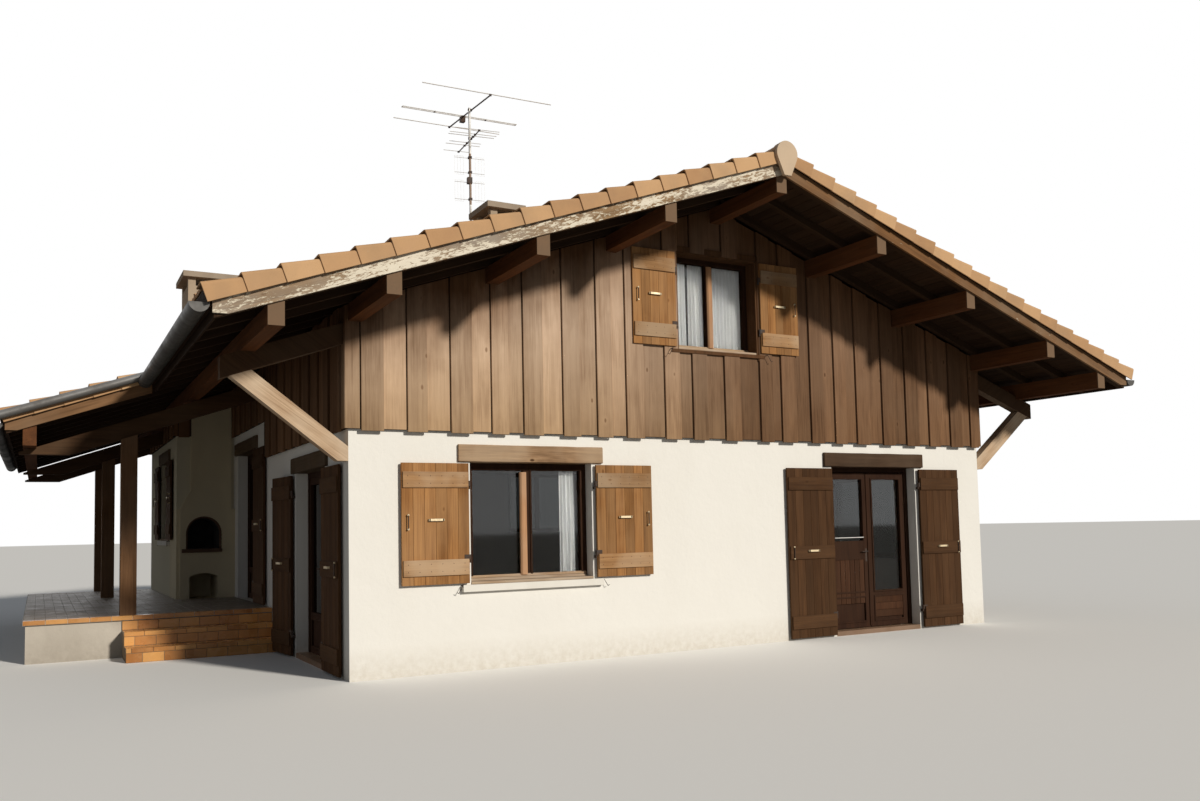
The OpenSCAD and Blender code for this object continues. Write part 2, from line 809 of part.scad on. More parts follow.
// Outrigger beam and strut that carry the outer purlin at a corner
module bracket(y) {
    x_in = xl - clad_out;
    x_out = xl - outrigger_out;
    beam_bottom = beam_top - outrigger_h;
    x_head = xl - strut_reach;
    difference() {
        union() {
            along_y(y, y + outrigger_w) slope_band(x_out, x_in, beam_bottom, beam_top);
            along_y(y, y + outrigger_w)
                polygon([[xl, strut_foot_z], [xl, strut_foot_z + strut_cut],
                         [x_head + strut_head, roof_z(x_head + strut_head, beam_bottom)],
                         [x_head, roof_z(x_head, beam_bottom)], [xl - strut_heel, strut_foot_z]]);
        }
        purlin_set();
    }
}

module corner_brackets() {
    color("burlywood") {
        bracket(yf);
        mirror([1, 0, 0]) {
            bracket(yf);
            bracket(split);
            bracket(yb - outrigger_w);
        }
    }
}

PORCH_BEAMS = [[yf + porch_beam_y, xl - clad_out], [yf + rear_beam_y, x_annex - clad_out],
               [yb - porch_beam_w / 2 - 20, x_annex - clad_out]];

module porch_beam_outline(x1) {
    x0 = xl - porch_beam_out;
    low = porch_beam_top - porch_beam_h;
    level = roof_z(x0, porch_beam_top) - beam_nose;
    polygon([[x0, roof_z(x0, porch_beam_top)], [x0, level], [x0 + (level - roof_z(x0, low)) / slope, level],
             [x1, roof_z(x1, low)], [x1, roof_z(x1, porch_beam_top)]]);
}

module porch_beams() {
    color("peru") for (b = PORCH_BEAMS) difference() {
        along_y(b[0] - porch_beam_w / 2, b[0] + porch_beam_w / 2) porch_beam_outline(b[1]);
        purlin_set();
    }
}

module porch_posts() {
    x0 = xl - post_x - post_w / 2;
    color("burlywood") for (b = PORCH_BEAMS)
        along_y(b[0] - post_w / 2, b[0] + post_w / 2)
            polygon([[x0, split_h], [x0 + post_w, split_h],
                     [x0 + post_w, roof_z(x0 + post_w, porch_beam_top - porch_beam_h - seat)],
                     [x0, roof_z(x0, porch_beam_top - porch_beam_h - seat)]]);
}

module porch_floor() {
    x0 = xl - porch_floor_out;
    y0 = yf + porch_floor_y;
    color("indianred") {
        box3(x0 + coping_out, xl, y0 + coping_out, y_oven, 0, split_h - coping_t);
        box3(x0, xl, y0, y_oven, split_h - coping_t, split_h);
        box3(x0 + coping_out, x_oven, y_oven, y_annex, 0, split_h - coping_t);
        box3(x0, x_oven, y_oven, y_annex, split_h - coping_t, split_h);
        box3(x0 + coping_out, x_annex, y_annex, yb - coping_out, 0, split_h - coping_t);
        box3(x0, x_annex, y_annex, yb, split_h - coping_t, split_h);
    }
}

module porch_steps() {
    riser = split_h / risers;
    y0 = yf + steps_y;
    color("peru") for (i = [1 : risers - 1])
        box3(xl - steps_out, xl, y0 + (i - 1) * tread,
             i == risers - 1 ? y0 + i * tread + coping_out : y0 + i * tread, 0, i * riser);
}

// Oven with its mouth, niche and flue
module arch_outline(w, side, rise) {
    r = (w * w / 4 + rise * rise) / (2 * rise);
    translate([-w / 2, 0]) square([w, side]);
    intersection() {
        translate([0, side + rise - r]) circle(r, $fn = 96);
        translate([-w / 2, side]) square([w, rise + eps]);
    }
}

module oven_breast() {
    color("ivory") difference() {
        union() {
            box3(x_annex, xl, y_annex, y_oven_back, 0, split_h + oven_h);
            along_y(y_oven, y_annex)
                polygon([[x_oven, 0], [xl, 0], [xl, split_h + oven_h], [flue_r, split_h + oven_h],
                         [flue_r, roof_z(flue_r)], [flue_l, roof_z(flue_l)],
                         [flue_l, split_h + oven_h + shoulder_h], [x_oven, split_h + oven_h]]);
            along_y(y_annex, flue_back)
                polygon([[flue_l, split_h + oven_h], [flue_r, split_h + oven_h], [flue_r, roof_z(flue_r)],
                         [flue_l, roof_z(flue_l)]]);
            translate([xl - mouth_x, 0, 0])
                box3(-mouth_w / 2 - ledge_out, mouth_w / 2, y_oven - ledge_out, y_oven,
                     split_h + mouth_z - ledge_t, split_h + mouth_z);
        }
        translate([xl - mouth_x, 0, split_h + mouth_z])
            along_y(y_oven - eps, y_oven + mouth_d) arch_outline(mouth_w, mouth_side_h, mouth_w / 2);
        translate([xl - mouth_x, 0, split_h])
            along_y(y_oven - eps, y_oven + mouth_d) arch_outline(niche_w, niche_side_h, niche_rise);
    }
}

// Chimneys
module stack(x, y, w, d, z_top) {
    bottom = roof_z(x, cover_top);
    difference() {
        along_y(y + cap_over, y + d - cap_over)
            polygon([[x - w / 2 + cap_over, roof_z(x - w / 2 + cap_over, cover_top + seat)],
                     [x + w / 2 - cap_over, roof_z(x + w / 2 - cap_over, cover_top + seat)],
                     [x + w / 2 - cap_over, z_top], [x - w / 2 + cap_over, z_top]]);
        box3(x - w / 2 + cap_over + flue_wall, x + w / 2 - cap_over - flue_wall,
             y + cap_over + flue_wall, y + d - cap_over - flue_wall, bottom - flue_dip, z_top + eps);
    }
    for (i = [-1, 1], j = [0, 1])
        translate([x + i * (w / 2 - cap_over - pier_w / 2),
                   y + cap_over + pier_w / 2 + j * (d - 2 * cap_over - pier_w), z_top])
            translate([-pier_w / 2, -pier_w / 2, 0]) cube([pier_w, pier_w, pier_h]);
}
x_oven_chimney = xl - oven_chimney_x;
x_ridge_chimney = -ridge_chimney_x;

module chimney_stacks() {
    color("ivory") {
        stack(x_oven_chimney, yf + oven_chimney_y, oven_cap_w, oven_cap_d, oven_cap_z - cap_t - pier_h);
        stack(x_ridge_chimney, yf + ridge_chimney_y, ridge_cap_w, ridge_cap_d,
              ridge_cap_z - cap_t - pier_h);
    }
}

module chimney_cap(x, y, w, d, z) {
    box3(x - w / 2, x + w / 2, y, y + d, z - cap_t, z);
}

module chimney_caps() {
    color("darkgray") {
        chimney_cap(x_oven_chimney, yf + oven_chimney_y, oven_cap_w, oven_cap_d, oven_cap_z);
        chimney_cap(x_ridge_chimney, yf + ridge_chimney_y, ridge_cap_w, ridge_cap_d, ridge_cap_z);
    }
}

// Aerial
clamp_gap = 60;
mast_x = x_ridge_chimney - ridge_cap_w / 2 + 60;
mast_y = yf + ridge_chimney_y + ridge_cap_d + clamp_gap;
clamp_z = [ridge_cap_z - 320, ridge_cap_z - 620];

module aerial_mast() {
    color("silver") {
        translate([mast_x, mast_y, mast_top - mast_len]) cylinder(h = mast_len, r = mast_r);
        for (z = clamp_z) translate([mast_x - clamp_w / 2, mast_y - clamp_gap - cap_over, z]) {
            cube([clamp_w, clamp_gap + cap_over, clamp_h]);
            cube([clamp_w + clamp_reach, clamp_w / 2, clamp_h]);
        }
    }
}

// A boom from back to ahead of the mast, with rods across it; each rod has a place and a length
module yagi(z, back, ahead, rods) {
    translate([mast_x, mast_y, z]) rotate(boom_turn) {
        box3(mast_r, mast_r + boom_w, -back, ahead, -boom_w / 2, boom_w / 2);
        for (rod = rods) translate([mast_r + boom_w / 2, rod[0], boom_w / 2])
            box3(-rod[1] / 2, rod[1] / 2, -rod_w / 2, rod_w / 2, 0, rod_w);
    }
}
LONG_RODS = [[-730, 2100], [365, 1830], [435, 1830], [900, 1740]];
SHORT_RODS = [for (i = [0 : 7]) [-270 + i * 110, 430 - i * 18]];

module aerials() {
    color("silver") {
        yagi(mast_top - upper_boom_drop, 750, 950, LONG_RODS);
        yagi(mast_top - lower_boom_drop, 300, 550, SHORT_RODS);
    }
}

// Windows and doors
module window_frames() {
    color("maroon") {
        at_masonry_windows() frame_body(window_w, head_z - window_z);
        on_annex(annex_window_far, back_sill) frame_body(annex_window_w, head_z - window_z);
        on_front(gable_window_x, gable_window_z) gable_frame();
        on_back(gable_window_x, back_gable_z) gable_frame();
    }
}

module gable_frame() {
    translate([0, -gable_set, 0]) frame_body(gable_window_w, gable_window_h);
}

module window_glass() {
    color("lightblue") {
        at_masonry_windows() glass_body(window_w, head_z - window_z);
        on_annex(annex_window_far, back_sill) glass_body(annex_window_w, head_z - window_z);
        on_front(gable_window_x, gable_window_z)
            translate([0, -gable_set, 0]) glass_body(gable_window_w, gable_window_h);
        on_back(gable_window_x, back_gable_z)
            translate([0, -gable_set, 0]) glass_body(gable_window_w, gable_window_h);
    }
}

// Fixed frame round a doorway: two jambs and a head
module door_frame_body(w, h) {
    difference() {
        box3(0, w, frame_set, frame_set + frame_d, 0, h);
        box3(door_frame, w - door_frame, frame_set - eps, frame_set + frame_d + eps, -eps, h - door_frame);
    }
}

module door_frames() {
    color("maroon") {
        on_front(door_x, slab_t) door_frame_body(door_w, door_h);
        place_french(0) frame_knuckles();
        place_french(1) translate([french_leaf_w, 0, 0]) mirror([1, 0, 0]) frame_knuckles();
        on_left(side_door_y + side_door_w, slab_t) door_frame_body(side_door_w, door_h);
        on_left(porch_door_y + porch_door_w, split_h) door_frame_body(porch_door_w, head_z);
    }
}

// One glazed leaf of width w: a panel below and a light above
module leaf_body(w, h) {
    difference() {
        box3(0, w, 0, leaf_t, 0, h);
        box3(stile, w - stile, -eps, leaf_t + eps, leaf_panel_h + stile / 2, h - stile);
        box3(stile, w - stile, leaf_t - panel_dip, leaf_t + eps, stile, leaf_panel_h - stile / 2);
        box3(stile, w - stile, -eps, panel_dip, stile, leaf_panel_h - stile / 2);
    }
}

module leaf_glass(w, h) {
    box3(stile, w - stile, (leaf_t - glass_t) / 2, (leaf_t + glass_t) / 2, leaf_panel_h + stile / 2, h - stile);
}

leaf_set = frame_set + frame_d - leaf_t;
leaf_axis_y = frame_set + frame_d + leaf_knuckle_r + 1;
french_leaf_w = (door_w - 2 * door_frame - 3 * leaf_gap) / 2;
french_leaf_h = door_h - door_frame - 2 * leaf_gap;
leaf_hinge_z = [260, french_leaf_h / 2 - 5, french_leaf_h - 250];
side_leaf_w = (side_door_w - 2 * door_frame) / 2;
side_leaf_h = door_h - door_frame;
porch_leaf_w = (porch_door_w - 2 * door_frame) / 2;
porch_leaf_h = head_z - door_frame;

module place_french(i) {
    on_front(door_x + door_frame + leaf_gap + i * (french_leaf_w + leaf_gap), slab_t + leaf_gap)
        translate([0, leaf_set, 0]) children();
}

// The half of a leaf's hinges that turns with it, on the side of x = 0
module leaf_knuckles() {
    for (z = leaf_hinge_z) translate([0, 0, z]) {
        translate([-leaf_gap / 2, leaf_axis_y - leaf_set, 0]) cylinder(h = leaf_knuckle_h, r = leaf_knuckle_r);
        translate([-leaf_gap / 2, leaf_t, 0])
            cube([leaf_plate_w, leaf_plate_t, leaf_knuckle_h]);
    }
}

// The half that is fixed to the frame beside it
module frame_knuckles() {
    for (z = leaf_hinge_z) translate([0, 0, z - knuckle_gap - leaf_knuckle_h]) {
        translate([-leaf_gap / 2, leaf_axis_y - leaf_set, 0]) cylinder(h = leaf_knuckle_h, r = leaf_knuckle_r);
        translate([-leaf_gap / 2 - leaf_plate_w, leaf_t, 0])
            cube([leaf_plate_w, leaf_plate_t, leaf_knuckle_h]);
    }
}

module french_leaf_left() {
    color("maroon") place_french(0) {
        leaf_body(french_leaf_w, french_leaf_h);
        leaf_knuckles();
    }
}

module french_leaf_right() {
    color("maroon") place_french(1) {
        leaf_body(french_leaf_w, french_leaf_h);
        translate([french_leaf_w, 0, 0]) mirror([1, 0, 0]) leaf_knuckles();
    }
}
module french_glass_left() { color("lightblue") place_french(0) leaf_glass(french_leaf_w, french_leaf_h); }
module french_glass_right() { color("lightblue") place_french(1) leaf_glass(french_leaf_w, french_leaf_h); }

module place_fixed_leaves() {
    on_left(side_door_y + side_door_w, slab_t) translate([door_frame, leaf_set, 0]) children(0);
    on_left(porch_door_y + porch_door_w, split_h) translate([door_frame, leaf_set, 0]) children(1);
}

// The two leaves of a fixed door are drawn as one piece with two lights
module leaf_pair(w, h) {
    union() {
        leaf_body(w, h);
        translate([w, 0, 0]) leaf_body(w, h);
    }
}

module side_door_leaves() {
    color("maroon") place_fixed_leaves() {
        leaf_pair(side_leaf_w, side_leaf_h);
        leaf_pair(porch_leaf_w, porch_leaf_h);
    }
}

module side_door_glass() {
    color("lightblue") place_fixed_leaves() {
        for (i = [0, 1]) translate([i * side_leaf_w, 0, 0]) leaf_glass(side_leaf_w, side_leaf_h);
        for (i = [0, 1]) translate([i * porch_leaf_w, 0, 0]) leaf_glass(porch_leaf_w, porch_leaf_h);
    }
}

// A shutter hung on an axis at the origin, open towards -x, with its battens outwards
module shutter_body(w, h, battens) {
    box3(-w - shutter_edge, -shutter_edge, -shutter_t / 2, shutter_t / 2, 0, h);
    for (z = battens)
        box3(-w - shutter_edge + batten_inset, -shutter_edge - batten_inset,
             -shutter_t / 2 - batten_t, -shutter_t / 2, z, z + batten_h);
    for (z = hinge_heights(h)) {
        translate([0, 0, z]) cylinder(h = knuckle_h, r = knuckle_r);
        translate([-shutter_edge, -strap_t / 2, z]) cube([shutter_edge, strap_t, knuckle_h]);
    }
}
function hinge_heights(h) = [250, h - 250];
function two_battens(h) = [95, h - 95 - batten_h];
function three_battens(h) = [120, (h - batten_h) / 2, h - 120 - batten_h];

// The pair of pintles that a shutter's knuckles stand on, with the axis at the origin
module pintles(h) {
    for (z = hinge_heights(h)) {
        translate([0, 0, z - knuckle_gap - pintle_h]) cylinder(h = pintle_h, r = knuckle_r);
        translate([-knuckle_r / 2, 0, z - knuckle_gap - pintle_h])
            cube([knuckle_r, -hinge_y, pintle_h]);
    }
}

// Leaf width that closes half an opening of width w
function half_leaf(w) = w / 2 + hinge_side - shutter_edge - shutter_meet / 2;
window_shutter_w = half_leaf(window_w);
window_shutter_h = head_z - window_z - 2 * shutter_clear + 12;
french_shutter_w = half_leaf(door_w);
door_shutter_h = head_z - 2 * shutter_clear;
porch_shutter_w = half_leaf(porch_door_w);
gable_shutter_w = half_leaf(gable_window_w);
annex_shutter_w = half_leaf(annex_window_w);
shutter_z = window_z + shutter_clear - 6;

// Hinge axes in the frame of an opening: the left one, and the right one mirrored
module left_axis() { translate([-hinge_side, hinge_y, 0]) children(); }
module right_axis(w) { translate([w + hinge_side, hinge_y, 0]) mirror([1, 0, 0]) children(); }

module window_shutter(h = window_shutter_h, w = window_shutter_w) { shutter_body(w, h, two_battens(h)); }
module door_shutter(w) { shutter_body(w, door_shutter_h, three_battens(door_shutter_h)); }

module window_shutter_left() {
    color("goldenrod") on_front(window_x, shutter_z) left_axis() window_shutter();
}
module window_shutter_right() {
    color("goldenrod") on_front(window_x, shutter_z) right_axis(window_w) window_shutter();
}
module french_shutter_left() {
    color("goldenrod") on_front(door_x, shutter_clear) left_axis() door_shutter(french_shutter_w);
}
module french_shutter_right() {
    color("goldenrod") on_front(door_x, shutter_clear) right_axis(door_w) door_shutter(french_shutter_w);
}
module side_shutter_near() {
    color("goldenrod") on_left(side_door_y + side_door_w, shutter_clear)
        right_axis(side_door_w) door_shutter(side_shutter_w);
}
module side_shutter_far() {
    color("goldenrod") on_left(side_door_y + side_door_w, shutter_clear)
        left_axis() rotate(ajar) door_shutter(side_shutter_w);
}
module porch_shutter() {
    color("goldenrod") on_left(porch_door_y + porch_door_w, split_h + shutter_clear)
        right_axis(porch_door_w) door_shutter(porch_shutter_w);
}

module shutter_pair(w, sw, sh) {
    left_axis() window_shutter(sh, sw);
    right_axis(w) window_shutter(sh, sw);
}

module pintle_pair(w, sh) {
    left_axis() pintles(sh);
    right_axis(w) pintles(sh);
}

gable_shutter_h = gable_window_h - 2 * shutter_clear;

module at_fixed_windows() {
    on_right(right_window_y1, shutter_z) children();
    on_right(right_window_y2, shutter_z + split_h) children();
    on_back(back_window_x, shutter_z + split_h) children();
    on_back(house_w - back_window_x - window_w, shutter_z + split_h) children();
}

module at_gable_windows() {
    on_front(gable_window_x, gable_window_z + shutter_clear) translate([0, -clad_out, 0]) children();
    on_back(gable_window_x, back_gable_z + shutter_clear) translate([0, -clad_out, 0]) children();
}

module fixed_shutters() {
    color("goldenrod") {
        at_fixed_windows() shutter_pair(window_w, window_shutter_w, window_shutter_h);
        at_gable_windows() shutter_pair(gable_window_w, gable_shutter_w, gable_shutter_h);
        on_annex(annex_window_far, shutter_z + split_h)
            shutter_pair(annex_window_w, annex_shutter_w, window_shutter_h);
    }
}

module shutter_hinges() {
    color("black") {
        on_front(window_x, shutter_z) pintle_pair(window_w, window_shutter_h);
        on_front(door_x, shutter_clear) pintle_pair(door_w, door_shutter_h);
        on_left(side_door_y + side_door_w, shutter_clear) pintle_pair(side_door_w, door_shutter_h);
        on_left(porch_door_y + porch_door_w, split_h + shutter_clear)
            right_axis(porch_door_w) pintles(door_shutter_h);
        at_fixed_windows() pintle_pair(window_w, window_shutter_h);
        at_gable_windows() pintle_pair(gable_window_w, gable_shutter_h);
        on_annex(annex_window_far, shutter_z + split_h) pintle_pair(annex_window_w, window_shutter_h);
    }
}

floor_slab();
upper_floor();
front_wall();
left_wall();
right_wall();
back_wall();
wall_heads();
annex_wall();
lintels();
window_sills();
front_gable();
back_gable();
left_upper_wall();
right_upper_wall();
annex_upper_wall();
purlins();
left_rafters();
right_rafters();
left_roof();
right_roof();
porch_roof();
ridge_tiles();
ridge_ends();
bargeboards();
porch_bargeboard();
gutters();
verge_pipe();
fascias();
corner_brackets();
porch_beams();
porch_posts();
porch_floor();
porch_steps();
oven_breast();
chimney_stacks();
chimney_caps();
aerial_mast();
aerials();
window_frames();
window_glass();
door_frames();
side_door_leaves();
side_door_glass();
french_leaf_left();
french_glass_left();
french_leaf_right();
french_glass_right();
shutter_hinges();
window_shutter_left();
window_shutter_right();
french_shutter_left();
french_shutter_right();
side_shutter_near();
side_shutter_far();
porch_shutter();
fixed_shutters();
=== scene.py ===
"""Looks of the alpine chalet: tiles, boards, shutters, curtains, render, light and camera."""

import math
import random

import bmesh
import bpy
from mathutils import Matrix, Vector


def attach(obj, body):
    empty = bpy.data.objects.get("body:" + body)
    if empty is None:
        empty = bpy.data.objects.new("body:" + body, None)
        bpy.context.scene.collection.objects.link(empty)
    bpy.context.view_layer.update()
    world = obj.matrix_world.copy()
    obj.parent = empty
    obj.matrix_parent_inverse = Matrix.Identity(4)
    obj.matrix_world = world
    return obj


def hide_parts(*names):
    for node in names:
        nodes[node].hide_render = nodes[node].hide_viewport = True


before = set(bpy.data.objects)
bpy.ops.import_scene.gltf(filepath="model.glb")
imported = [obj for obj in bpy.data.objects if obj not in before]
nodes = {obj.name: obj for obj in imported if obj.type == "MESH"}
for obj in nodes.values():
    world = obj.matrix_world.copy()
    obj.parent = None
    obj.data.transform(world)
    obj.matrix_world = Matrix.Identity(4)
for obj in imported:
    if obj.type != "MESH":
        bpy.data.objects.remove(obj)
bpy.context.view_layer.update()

random.seed(11)

# Sizes shared with the construction, in metres
WALL_L, WALL_R, WALL_F, WALL_B = -4.70, 4.70, -5.50, 5.50  # outer faces of the walls
HOUSE_W, HOUSE_D = WALL_R - WALL_L, WALL_B - WALL_F
ANNEX_X, ANNEX_Y = -5.58, 1.44  # outer front corner of the annex
STOREY, BACK_H, SPLIT_Y = 2.60, 3.12, -1.27  # foot of the boarding in front, at the back, and where it steps
PORCH_Z = 0.52  # the porch floor, and the rise of the back rooms
CLAD = 0.045  # from the wall's face to the boards' face
PITCH = math.radians(19.4)
SLOPE, COS, SIN = math.tan(PITCH), math.cos(PITCH), math.sin(PITCH)
RIDGE = 5.557  # underside of the rafters at the ridge
RAFTER_TOP, FIELD_W = 0.1 * COS, 0.245  # the rafters' top and the tiles' bed, square off that plane
EAVE, PORCH_EAVE = 6.25, 7.88
VERGE_F, VERGE_B, PORCH_VERGE = -6.92, 6.50, -1.95
VERGE_OUT, VERGE_W = 0.05, 0.22  # verge tiles: how far they stand out, and what they cover
ROWS, COURSE, BUTT = 19, 0.348, 6.61  # tiles up a slope, and how far down it the lowest of them ends
PORCH_ROWS, PORCH_COURSE = 5, 0.338
FRAME_SET, GABLE_SET, DOOR_SET = 0.15, 0.125, 0.165  # how deep the joinery stands in its opening
MAST_X, MAST_Y, CLAMP_Z = -1.345, -0.64, (6.06, 6.36)
STRUT_TILT, BEAM_FOOT = math.radians(34.9), -0.3995  # the struts' slope, and the outriggers' underside
AJAR = math.radians(6)


def roof_z(x, k=0.0):
    """Height of the rafters' underside above a place across the house, k metres plumb above it."""
    return RIDGE - SLOPE * abs(x) + k


# ---------------------------------------------------------------- meshes
HEXA = [(0, 3, 2, 1), (4, 5, 6, 7), (0, 1, 5, 4), (1, 2, 6, 5), (2, 3, 7, 6), (3, 0, 4, 7)]


def prism_faces(n):
    """Faces of a prism from its two outlines of n points."""
    return ([list(range(n)), list(range(n, 2 * n))[::-1]]
            + [[i, (i + 1) % n, n + (i + 1) % n, n + i] for i in range(n)])


def new_mesh(name, points, faces):
    mesh = bpy.data.meshes.new(name)
    mesh.from_pydata(points, [], faces)
    return mesh


def in_scene(name, data):
    """A new object of the scene that holds a mesh, a lamp or a camera."""
    obj = bpy.data.objects.new(name, data)
    bpy.context.scene.collection.objects.link(obj)
    return obj


def outwards(mesh):
    work = bmesh.new()
    work.from_mesh(mesh)
    bmesh.ops.recalc_face_normals(work, faces=work.faces)
    work.to_mesh(mesh)
    work.free()


class Piece:
    """Gathers the solids of one piece, each with a tone that its finish reads."""

    def __init__(self, place=None):
        self.points, self.faces, self.tones, self.finishes = [], [], [], []
        self.place = place or Matrix.Identity(4)

    def add(self, points, faces, tone=None, finish=0, place=None):
        start = len(self.points)
        move = self.place @ place if place is not None else self.place
        self.points += [tuple(move @ Vector(p)) for p in points]
        tone = random.random() if tone is None else tone
        for face in faces:
            self.faces.append([start + i for i in face])
            self.tones.append(tone)
            self.finishes.append(finish)

    def box(self, x0, x1, y0, y1, z0, z1, **more):
        self.add([(x, y, z) for z in (z0, z1) for x, y in ((x0, y0), (x1, y0), (x1, y1), (x0, y1))], HEXA, **more)

    def prism(self, outline, y0, y1, **more):
        """An outline in x and z drawn out from y0 to y1."""
        self.add([(x, y, z) for y in (y0, y1) for x, z in outline], prism_faces(len(outline)), **more)

    def rod(self, start, end, radius, sides=8, **more):
        """A round bar between two points."""
        a, b = Vector(start), Vector(end)
        along = (b - a).normalized()
        side = along.orthogonal().normalized()
        other = along.cross(side)
        ring = [(side * math.cos(t) + other * math.sin(t)) * radius
                for t in (2 * math.pi * i / sides for i in range(sides))]
        self.rings([[a + r for r in ring], [b + r for r in ring]], **more)

    def rings(self, rings, **more):
        """A closed skin through rings of points that have the same count."""
        n = len(rings[0])
        points = [p for ring in rings for p in ring]
        faces = [list(range(n))[::-1], [len(points) - n + i for i in range(n)]]
        for r in range(len(rings) - 1):
            faces += [[r * n + i, r * n + (i + 1) % n, (r + 1) * n + (i + 1) % n, (r + 1) * n + i]
                      for i in range(n)]
        self.add(points, faces, **more)

    def make(self, name, finishes, body="house", slot=None, bevel=0.0, replaces=()):
        mesh = new_mesh(name, self.points, self.faces)
        mesh.attributes.new("tone", "FLOAT", "FACE").data.foreach_set("value", self.tones)
        mesh.polygons.foreach_set("material_index", self.finishes)
        outwards(mesh)
        finished(name, mesh, finishes, body, bevel, replaces)


def finished(name, mesh, finishes, body, bevel=0.0, replaces=()):
    """Makes a mesh an object with its finishes, and lets it ride on a body."""
    picks = [face.material_index for face in mesh.polygons]
    mesh.materials.clear()
    for material in finishes if isinstance(finishes, (list, tuple)) else [finishes]:
        mesh.materials.append(material)
    if len(mesh.materials) > 1:
        mesh.polygons.foreach_set("material_index", picks)
    obj = in_scene(name, mesh)
    if bevel:
        edge = obj.modifiers.new("Edges", "BEVEL")
        edge.width, edge.segments, edge.limit_method = bevel, 1, "ANGLE"
        edge.angle_limit = math.radians(35)
    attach(obj, body)
    if replaces:
        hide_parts(*replaces)
    return obj


# ---------------------------------------------------------------- node trees
ALONG_X, ALONG_Y, ALONG_Z = (0, math.pi / 2, 0), (math.pi / 2, 0, 0), (0, 0, 0)  # turns that bring a grain upright


class Net:
    """Adds nodes to a tree: a socket given as an input is linked, anything else is its value."""

    def __init__(self, tree):
        self.tree = tree

    def add(self, kind, inputs=None, **settings):
        made = self.tree.nodes.new(kind)
        for key, value in settings.items():
            setattr(made, key, value)
        for key, value in (inputs or {}).items():
            self.feed(made.inputs[key], value)
        return made

    def feed(self, socket, value):
        if isinstance(value, bpy.types.NodeSocket):
            self.tree.links.new(value, socket)
        else:
            socket.default_value = (*value, 1.0) if socket.type == "RGBA" else value

    def math(self, operation, *values):
        return self.add("ShaderNodeMath", dict(enumerate(values)), operation=operation).outputs[0]

    def times(self, a, b):
        return self.math("MULTIPLY", a, b)

    def plus(self, a, b):
        return self.math("ADD", a, b)

    def minus(self, a, b):
        return self.math("SUBTRACT", a, b)

    def vector(self, operation, *values):
        return self.add("ShaderNodeVectorMath", dict(enumerate(values)), operation=operation).outputs[0]

    def scaled(self, vector, amount):
        return self.add("ShaderNodeVectorMath", {0: vector, "Scale": amount}, operation="SCALE").outputs[0]

    def parts(self, vector):
        return self.add("ShaderNodeSeparateXYZ", {0: vector}).outputs

    def joined(self, x, y, z):
        return self.add("ShaderNodeCombineXYZ", {0: x, 1: y, 2: z}).outputs[0]

    def turned(self, place, turn):
        if not any(turn):
            return place
        return self.add("ShaderNodeMapping", {"Vector": place, "Rotation": turn}).outputs[0]

    def fade(self, value, low, high, out_low=0.0, out_high=1.0):
        return self.add("ShaderNodeMapRange", dict(enumerate((value, low, high, out_low, out_high))),
                        clamp=True).outputs[0]

    def fall(self, value, low, high):
        """One below the low value, nothing above the high one."""
        return self.fade(value, low, high, 1.0, 0.0)

    def mix(self, amount, a, b):
        return self.add("ShaderNodeMix", {0: amount, 6: a, 7: b}, data_type="RGBA").outputs[2]

    def scale_of(self, place, scale):
        """A scale with three values stretches the place instead."""
        return (self.vector("MULTIPLY", place, scale), 1.0) if isinstance(scale, tuple) else (place, scale)

    def noise(self, place, scale, detail, rough, warp=0.0):
        place, scale = self.scale_of(place, scale)
        return self.add("ShaderNodeTexNoise", {"Vector": place, "Scale": scale, "Detail": detail,
                                               "Roughness": rough, "Distortion": warp}).outputs["Fac"]

    def cells(self, place, scale):
        place, scale = self.scale_of(place, scale)
        return self.add("ShaderNodeTexVoronoi", {"Vector": place, "Scale": scale}).outputs["Distance"]

    def place(self):
        return self.add("ShaderNodeTexCoord").outputs["Object"]

    def tone(self):
        return self.add("ShaderNodeAttribute", attribute_name="tone").outputs["Fac"]

    def group(self, tree, **values):
        """A shared effect, with its inputs set or linked by their names."""
        return self.add("ShaderNodeGroup", values, node_tree=tree).outputs


VEC, FLT, COL = "NodeSocketVector", "NodeSocketFloat", "NodeSocketColor"


def shader_group(name, inputs, outputs, build):
    """A shared effect with named inputs, each with a kind and a usual value, and named outputs."""
    tree = bpy.data.node_groups.new(name, "ShaderNodeTree")
    for label, (kind, value) in {"Place": (VEC, None), **inputs}.items():
        socket = tree.interface.new_socket(label, in_out="INPUT", socket_type=kind)
        if value is not None:
            socket.default_value = (*value, 1.0) if kind == COL else value
    for label in outputs:
        tree.interface.new_socket(label, in_out="OUTPUT", socket_type=COL if label == "Color" else FLT)
    net = Net(tree)
    source, target = net.add("NodeGroupInput"), net.add("NodeGroupOutput")
    for label, value in build(net, source.outputs).items():
        net.feed(target.inputs[label], value)
    return tree


